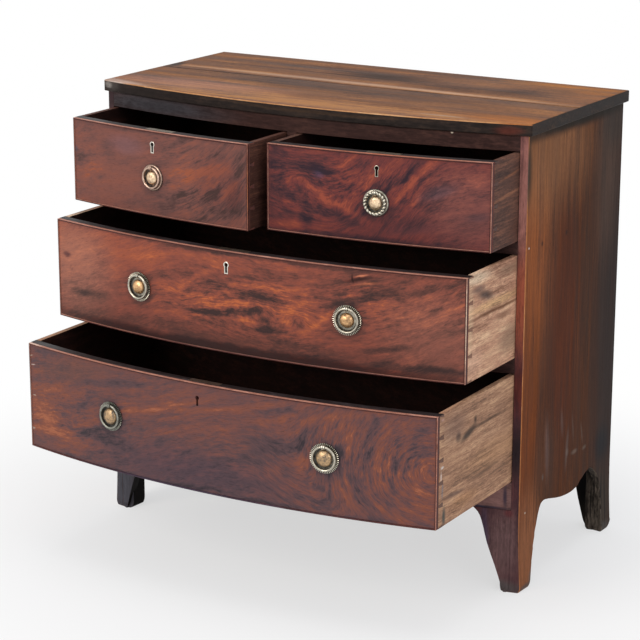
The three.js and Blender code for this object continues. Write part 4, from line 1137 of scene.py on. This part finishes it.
def lathe(form, grime, outline):
    """Sweeps (radius, height, dirt, material) points round the handle's axis, outwards from the wood."""
    rows = []
    for radius, height, dirt, _ in outline:
        turns = [2 * math.pi * number / ROUND for number in range(ROUND if radius > 0 else 1)]
        spots = [(radius * math.cos(turn), -height, radius * math.sin(turn)) for turn in turns]
        rows.append([point(form, grime, spot, dirt) for spot in spots])
    for (low, high), (_, _, _, finish) in zip(zip(rows, rows[1:]), outline):
        for number in range(ROUND):
            after = (number + 1) % ROUND
            if len(low) == 1:
                corners = (low[0], high[after], high[number])
            elif len(high) == 1:
                corners = (low[number], low[after], high[0])
            else:
                corners = (low[number], low[after], high[after], high[number])
            form.faces.new(corners).material_index = finish


def add_grown(form, tree, values, height):
    """Grows a tree's mesh, turns it to face out of the wood at a height, and adds it as clean metal."""
    helper = bpy.data.objects.new(tree.name, bpy.data.meshes.new(tree.name))
    bpy.context.collection.objects.link(helper)
    set_inputs(helper.modifiers.new("Grow", "NODES"), tree, values)
    mesh = plain(helper)
    bpy.data.objects.remove(helper)
    mesh.transform(Matrix.Translation((0, -height * MM, 0)) @ Matrix.Rotation(math.pi / 2, 4, "X"))
    before = len(form.faces)
    form.from_mesh(mesh)
    form.faces.ensure_lookup_table()
    for face in form.faces[before:]:
        face.material_index = 0
    print(tree.name, "grew", len(mesh.polygons), "faces")


print("A turned shape has", ROUND, "sides")

# %% [markdown]
# ## The plate
# A plate has a rim, a dish and a domed boss. Its section runs from its back over the rim to the top of the
# dome, as radius, height, dirt and material. A milled rim is low, because the teeth are set on it. A plain
# one is a half round.

# %% The section of a plate
LARGE = {"plate": 27.8, "rim": 5.6, "rim_height": 3.5, "flange": 16.4, "flange_height": 2.2, "dome": 15.7,
         "dome_height": 10.2, "ring": 21.7, "tube": 2.2, "lug": 4.1, "lug_width": 6.4, "milled": True}
SMALL = {"plate": 24.8, "rim": 5, "rim_height": 3.2, "flange": 13.6, "flange_height": 2.0, "dome": 12.9,
         "dome_height": 9.4, "ring": 19.2, "tube": 2.2, "lug": 4.1, "lug_width": 6, "milled": False}
ROPE = {**SMALL, "tube": 2.9, "lug": 4.7}
SLIM = {**LARGE, "dome": 13.6, "flange": 17.4}
PLATE_BACK = -0.25


def plate_outline(size):
    """The section of a plate, from its back over the rim and the dish to the top of the dome."""
    plate, rim, top = size["plate"], size["rim"], size["rim_height"]
    inner, flange, dome = plate - rim, size["flange"], size["dome"]
    edge = size["flange_height"]
    outline = [(0, PLATE_BACK, 1, 0)]
    if size["milled"]:
        outline += [(plate - 1.8, PLATE_BACK, 1, 0), (plate - 1.6, 0.2, 1, 0), (plate - 1.6, 0.9, 1, 0)]
        outline += [(inner + 0.6, 1.3, 1, 0), (inner, 1.2, 1, 0)]
    else:
        outline += [(plate - 0.4, PLATE_BACK, 1, 0), (plate, 0.2, 0.8, 0), (plate, 0.9, 0.5, 0)]
        for step in range(9):
            turn = math.pi * step / 8
            across = plate - rim / 2 + rim / 2 * math.cos(turn)
            outline.append((across, 1.0 + (top - 1.0) * math.sin(turn), 0.3 if 1 < step < 7 else 0.7, 0))
    outline += [(inner - 0.6, 0.9, 0.9, 0), (flange + 0.5, 0.9, 0.8, 0), (flange, 1.1, 0.8, 0)]
    outline += [(flange, edge, 0.45, 0), (dome + 0.2, edge + 0.2, 0.65, 1)]
    for step in range(10):
        turn = math.pi / 2 * step / 10
        bulge = edge + (size["dome_height"] - edge) * math.sin(turn)
        outline.append((dome * math.cos(turn), bulge, 0.55 if step < 2 else 0.3, 1))
    return outline + [(0, size["dome_height"], 0.25, 1)]


print("Points in a section:", len(plate_outline(LARGE)), "with teeth,", len(plate_outline(SMALL)), "without")

# %% [markdown]
# ## The lug and the ring
# The ring hangs in a lug at the top of the plate and lies round the boss. The lug is a short hollow barrel
# on a stem, with two beads round it. A ready made torus would do for the ring, but here each point needs
# its dirt, so it is swept like the lug.

# %% Lug and ring
RING_GAP = 0.4
BORE_GAP = 0.7
LUG_SIDES, LUG_DIRT = 48, (0.1, 0.8)
RING_SIDES, TUBE_SIDES = 72, 14
STEM_DIRT = 0.6


def stand_off(size):
    """How far the middle of the ring's bar stands off the wood."""
    return size["rim_height"] + RING_GAP + size["tube"]


def add_lug(form, grime, size):
    """The lug: a short hollow barrel across the top of the plate, on a stem."""
    out, half, outer, bore = stand_off(size), size["lug_width"] / 2, size["lug"], size["tube"] + BORE_GAP
    section = [(-half, bore), (-half, outer - 0.5), (-half + 0.5, outer), (-0.7, outer), (0, outer - 0.6),
               (0.7, outer), (half - 0.5, outer), (half, outer - 0.5), (half, bore)]
    clean, dirty = LUG_DIRT
    rows = []
    for number in range(LUG_SIDES):
        turn = 2 * math.pi * number / LUG_SIDES
        rows.append([
            point(form, grime, (x, -out + radius * math.cos(turn), size["ring"] + radius * math.sin(turn)),
                  dirty if x == 0 or radius == bore else clean)
            for x, radius in section
        ])
    join_loop(form, rows)
    low = (0.6 - half, -out + size["tube"] + 0.9, size["ring"] - 2.6)
    high = (half - 0.6, -1.0, size["ring"] + outer - 0.6)
    for vertex in bmesh.ops.create_cube(form, size=1)["verts"]:
        vertex.co = Vector([(a if c < 0 else b) * MM for a, b, c in zip(low, high, vertex.co)])
        vertex[grime] = STEM_DIRT


def add_ring(form, grime, size, tube, dirt):
    """A plain ring hanging from its eye, round the boss, dirtier on the side of the wood."""
    rows = []
    for number in range(RING_SIDES):
        turn = 2 * math.pi * number / RING_SIDES
        row = []
        for step in range(TUBE_SIDES):
            swing = 2 * math.pi * step / TUBE_SIDES
            radius = size["ring"] + tube * math.cos(swing)
            out = stand_off(size) - tube * math.sin(swing)
            spot = (radius * math.cos(turn), -out, radius * math.sin(turn))
            row.append(point(form, grime, spot, dirt + 0.3 * (math.sin(swing) > 0.3)))
        rows.append(row)
    join_loop(form, rows)


print("The rings stand off the wood by", [round(stand_off(size), 1) for size in (LARGE, SMALL, ROPE)], "mm")

# %% [markdown]
# ## The six handles
# No two handles look quite alike, after two centuries of wear and repair. The long drawers have large
# plates with milled rims, and the middle ones a smaller boss. The short drawers have small plates, and the
# ring of the right one is a rope. The plate rides on the drawer, and the ring rides on its own body, which
# swings in the lug.

# %% Make the handles
HANDLE_PLACES = {
    "top_left_drawer_handle": ((-231.036, -211.156, 746.3), (0.992845, -0.119414)),
    "top_right_drawer_handle": ((231.036, -182.156, 746.3), (0.992845, 0.119414)),
    "middle_drawer_left_handle": ((-224.035, -269.985, 550.8), (0.993273, -0.115795)),
    "middle_drawer_right_handle": ((225.035, -269.868, 550.8), (0.993213, 0.116312)),
    "bottom_drawer_left_handle": ((-222.034, -370.217, 325.3), (0.993393, -0.114762)),
    "bottom_drawer_right_handle": ((238.037, -368.301, 325.3), (0.992403, 0.123033)),
}
HANDLE_LOOKS = {
    "top_left_drawer_handle": (SMALL, rosy_brass, cream_brass),
    "top_right_drawer_handle": (ROPE, pale_brass, cream_brass),
    "middle_drawer_left_handle": (SLIM, pale_brass, gold_brass),
    "middle_drawer_right_handle": (SLIM, pale_brass, gold_brass),
    "bottom_drawer_left_handle": (LARGE, dull_brass, brown_brass),
    "bottom_drawer_right_handle": (LARGE, pale_brass, brown_brass),
}
TEETH_HEIGHT = 1.9
ROPE_CORE = 2.2
for name, (centre, across) in HANDLE_PLACES.items():
    size, rim, boss = HANDLE_LOOKS[name]
    matrix = place_on(centre, across)
    drawer = name[: name.index("_drawer") + len("_drawer")]
    ring_body = name.replace("_drawer", "").replace("_handle", "_ring")
    form, grime = new_form()
    lathe(form, grime, plate_outline(size))
    add_lug(form, grime, size)
    if size["milled"]:
        add_grown(form, teeth_tree, TEETH, TEETH_HEIGHT)
    finished(name, form, matrix, [rim, boss], drawer, [name + "_plate"])
    form, grime = new_form()
    if size is ROPE:
        add_ring(form, grime, size, ROPE_CORE, 0.7)
        add_grown(form, rope_tree, STRANDS, stand_off(size))
    else:
        add_ring(form, grime, size, size["tube"], 0.15)
    finished(name + "_bail", form, matrix, [rim], ring_body, [name + "_ring"])

# %% [markdown]
# ## Escutcheons
# Three keyholes still have their brass lining: a thin strip bent to the shape of the key, driven into the
# wood and filed nearly flush. The bottom one has lost it. The keyhole's outline, grown by different
# amounts at different depths, gives every edge of the strip.

# %% Line the keyholes
KEY_ROUND, KEY_CENTRE = 4, 5.5
KEY_HALF, KEY_FOOT = 2.3, -9.5
BOW_RISE = 55
FRONT_LINE = -37.7


def keyhole_outline(grow, steps=20):
    """The keyhole's outline, grown by some millimetres: a round hole over a slot."""
    radius, half, foot = KEY_ROUND + grow, KEY_HALF + grow, KEY_FOOT - grow
    turn = math.asin(half / radius)
    start, end = turn - math.pi / 2, 3 * math.pi / 2 - turn
    turns = [start + (end - start) * number / steps for number in range(steps + 1)]
    arc = [(radius * math.cos(turn), KEY_CENTRE + radius * math.sin(turn)) for turn in turns]
    return [(-half, foot), (half, foot)] + arc


def lining_section(lip):
    """How far the outline has grown, how deep it lies and its dirt, from the lip to the back and out."""
    return [(lip, -0.02, 0.2), (lip, -0.3, 0.1), (lip - 0.3, -0.45, 0.0), (-0.1, -0.45, 0.2),
            (-0.35, -0.2, 0.6), (-0.35, 4.0, 1.0), (-0.05, 4.0, 1.0), (-0.05, -0.02, 0.8)]


# The middle of each keyhole, how far its drawer stands open, how wide its lip is, and its metal.
KEYHOLES = {
    "top_left_drawer": (-231.5, 803.3, 132, 1.5, bright_brass),
    "top_right_drawer": (231.5, 803.3, 103, 0.7, pale_brass),
    "middle_drawer": (-22, 615.8, 190, 1.7, bright_brass),
}
for drawer, (x, z, opening, lip, finish) in KEYHOLES.items():
    turn = math.asin(x * MM / BOW_RADIUS)
    y = FRONT_LINE - opening - BOW_RISE + BOW_RADIUS / MM * (1 - math.cos(turn))
    form, grime = new_form()
    rows = [
        [point(form, grime, (u, depth, v), dirt) for u, v in keyhole_outline(grow)]
        for grow, depth, dirt in lining_section(lip)
    ]
    join_loop(form, rows)
    matrix = place_on((x, y, z), (math.cos(turn), math.sin(turn)))
    finished(drawer + "_escutcheon", form, matrix, [finish], drawer)

# %% [markdown]
# ## What stays as the CAD has it
# The dustboards, the back, the bottoms of the drawers and the locks are seen only from behind or with a
# drawer out. Their shapes are right, so they keep their solids and get their finish here.

# %% Finishes for the other solids
KEPT = (
    (("back_board",), back_wood),
    (("_dustboard", "bottom_board"), pine_wood),
    # The bottoms and backs of the drawers get the painted shade of the inside.
    (("drawer_bottom", "drawer_back"), inside_shade_wood),
    (("_lock_case", "_lock_bolt"), plate_brass),
)
for endings, finish in KEPT:
    kept = [node for node in frame["nodes"] if node.endswith(endings)]
    for node in kept:
        for slot in frame["nodes"][node].material_slots:
            slot.material = finish
    print(finish.name, "goes on", kept)

# %% [markdown]
# ## The studio
# A pale floor, one large soft lamp from the front left, as the light falls in the photograph, two weaker
# ones and a dim even sky. The lamps are set so that a colour renders about as it is written. White behind
# the chest comes from what the camera sees of the floor and the sky, and not from more light. Brass sees
# the same white. Near the feet the floor stays plain paper, so that it keeps the chest's shadow.

# %% The floor
FLOOR_SIZE = 30.0
SHADOW_REACH, WHITE_FROM = 0.45, 1.3
form = bmesh.new()
bmesh.ops.create_grid(form, x_segments=1, y_segments=1, size=FLOOR_SIZE)
mesh = bpy.data.meshes.new("floor")
form.to_mesh(mesh)
form.free()
floor = bpy.data.objects.new("floor", mesh)
bpy.context.collection.objects.link(floor)
floor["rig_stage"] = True
# Matt white paper, which glows white to the camera away from the chest.
paper, tree = new_material("floor_paper")
diffuse = add(tree, "ShaderNodeBsdfDiffuse", {"Color": linear("#f4f4f2")})
glow = add(tree, "ShaderNodeEmission", {"Color": (1, 1, 1, 1), "Strength": 1.0})
where = add(tree, "ShaderNodeTexCoord", take="Object")
far = add(tree, "ShaderNodeVectorMath", {0: where}, take="Value", operation="LENGTH")
far = {"Value": far, "From Min": SHADOW_REACH, "From Max": WHITE_FROM, "To Min": 0.6}
far = add(tree, "ShaderNodeMapRange", far, interpolation_type="SMOOTHSTEP")
seen = add(tree, "ShaderNodeLightPath", take="Is Camera Ray")
mirrored = add(tree, "ShaderNodeLightPath", take="Is Glossy Ray")
either = add(tree, "ShaderNodeMath", {0: seen, 1: mirrored}, operation="MAXIMUM")
share = add(tree, "ShaderNodeMath", {0: far, 1: either}, operation="MULTIPLY")
surface = add(tree, "ShaderNodeMixShader", {0: share, 1: diffuse, 2: glow})
add(tree, "ShaderNodeOutputMaterial", {"Surface": surface})
mesh.materials.append(paper)
print("The floor is", round(2 * FLOOR_SIZE), "m wide")

# %% [markdown]
# The sky lights the chest a little from all round, with the blue of a window. Camera, glossy and
# transmission rays see plain white in its place.

# %% Sky and lamps
SKY_LIGHT = 0.55
world = bpy.data.worlds.new("Studio")
bpy.context.scene.world = world
world.use_nodes = True
tree = world.node_tree
tree.nodes.clear()
path = add(tree, "ShaderNodeLightPath", take=None).outputs
plain_rays = {0: path["Is Camera Ray"], 1: path["Is Glossy Ray"]}
plain_rays = add(tree, "ShaderNodeMath", plain_rays, operation="MAXIMUM")
plain_rays = {0: plain_rays, 1: path["Is Transmission Ray"]}
plain_rays = add(tree, "ShaderNodeMath", plain_rays, operation="MAXIMUM")
sky = add(tree, "ShaderNodeBackground", {"Color": linear("#f2f5ff"), "Strength": SKY_LIGHT})
white = add(tree, "ShaderNodeBackground", {"Color": (1, 1, 1, 1), "Strength": 1.0})
both = add(tree, "ShaderNodeMixShader", {0: plain_rays, 1: sky, 2: white})
add(tree, "ShaderNodeOutputWorld", {"Surface": both})


def lamp(name, place, target, size, power, colour):
    """A square soft lamp that points at a place."""
    light = bpy.data.lights.new(name, "AREA")
    light.size = size
    light.energy = power
    light.color = linear(colour)[:3]
    made = bpy.data.objects.new(name, light)
    made.location = place
    made.rotation_mode = "QUATERNION"
    made.rotation_quaternion = (Vector(target) - Vector(place)).to_track_quat("-Z", "Y")
    bpy.context.collection.objects.link(made)
    print("The", name, "lamp has", power, "W over", size, "m")


lamp("key", (-1.6, -4.2, 2.6), (0, 0, 0.45), 2.2, 95, "#fff8f0")
lamp("fill", (3.6, -2.4, 2.0), (0, 0, 0.45), 2.6, 30, "#f6f8ff")
lamp("top", (0.2, -0.6, 4.2), (0, 0, 0.8), 2.4, 40, "#ffffff")
bpy.context.scene.view_settings.view_transform = "Standard"

# %% [markdown]
# ## Sizes and the end
# Both boxes, the CAD model's and the dressed chest's, are gathered and printed. The dressed chest
# has to stay inside the box of the CAD model.

# %% Print the sizes
low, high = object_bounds()
sizes = {
    "cad": {"low": list(cad_low), "high": list(cad_high)},
    "visual": {"low": list(low), "high": list(high)},
}
print("CAD box", [round(v, 4) for v in (*cad_low, *cad_high)])
print("Visual box", [round(v, 4) for v in (*low, *high)])
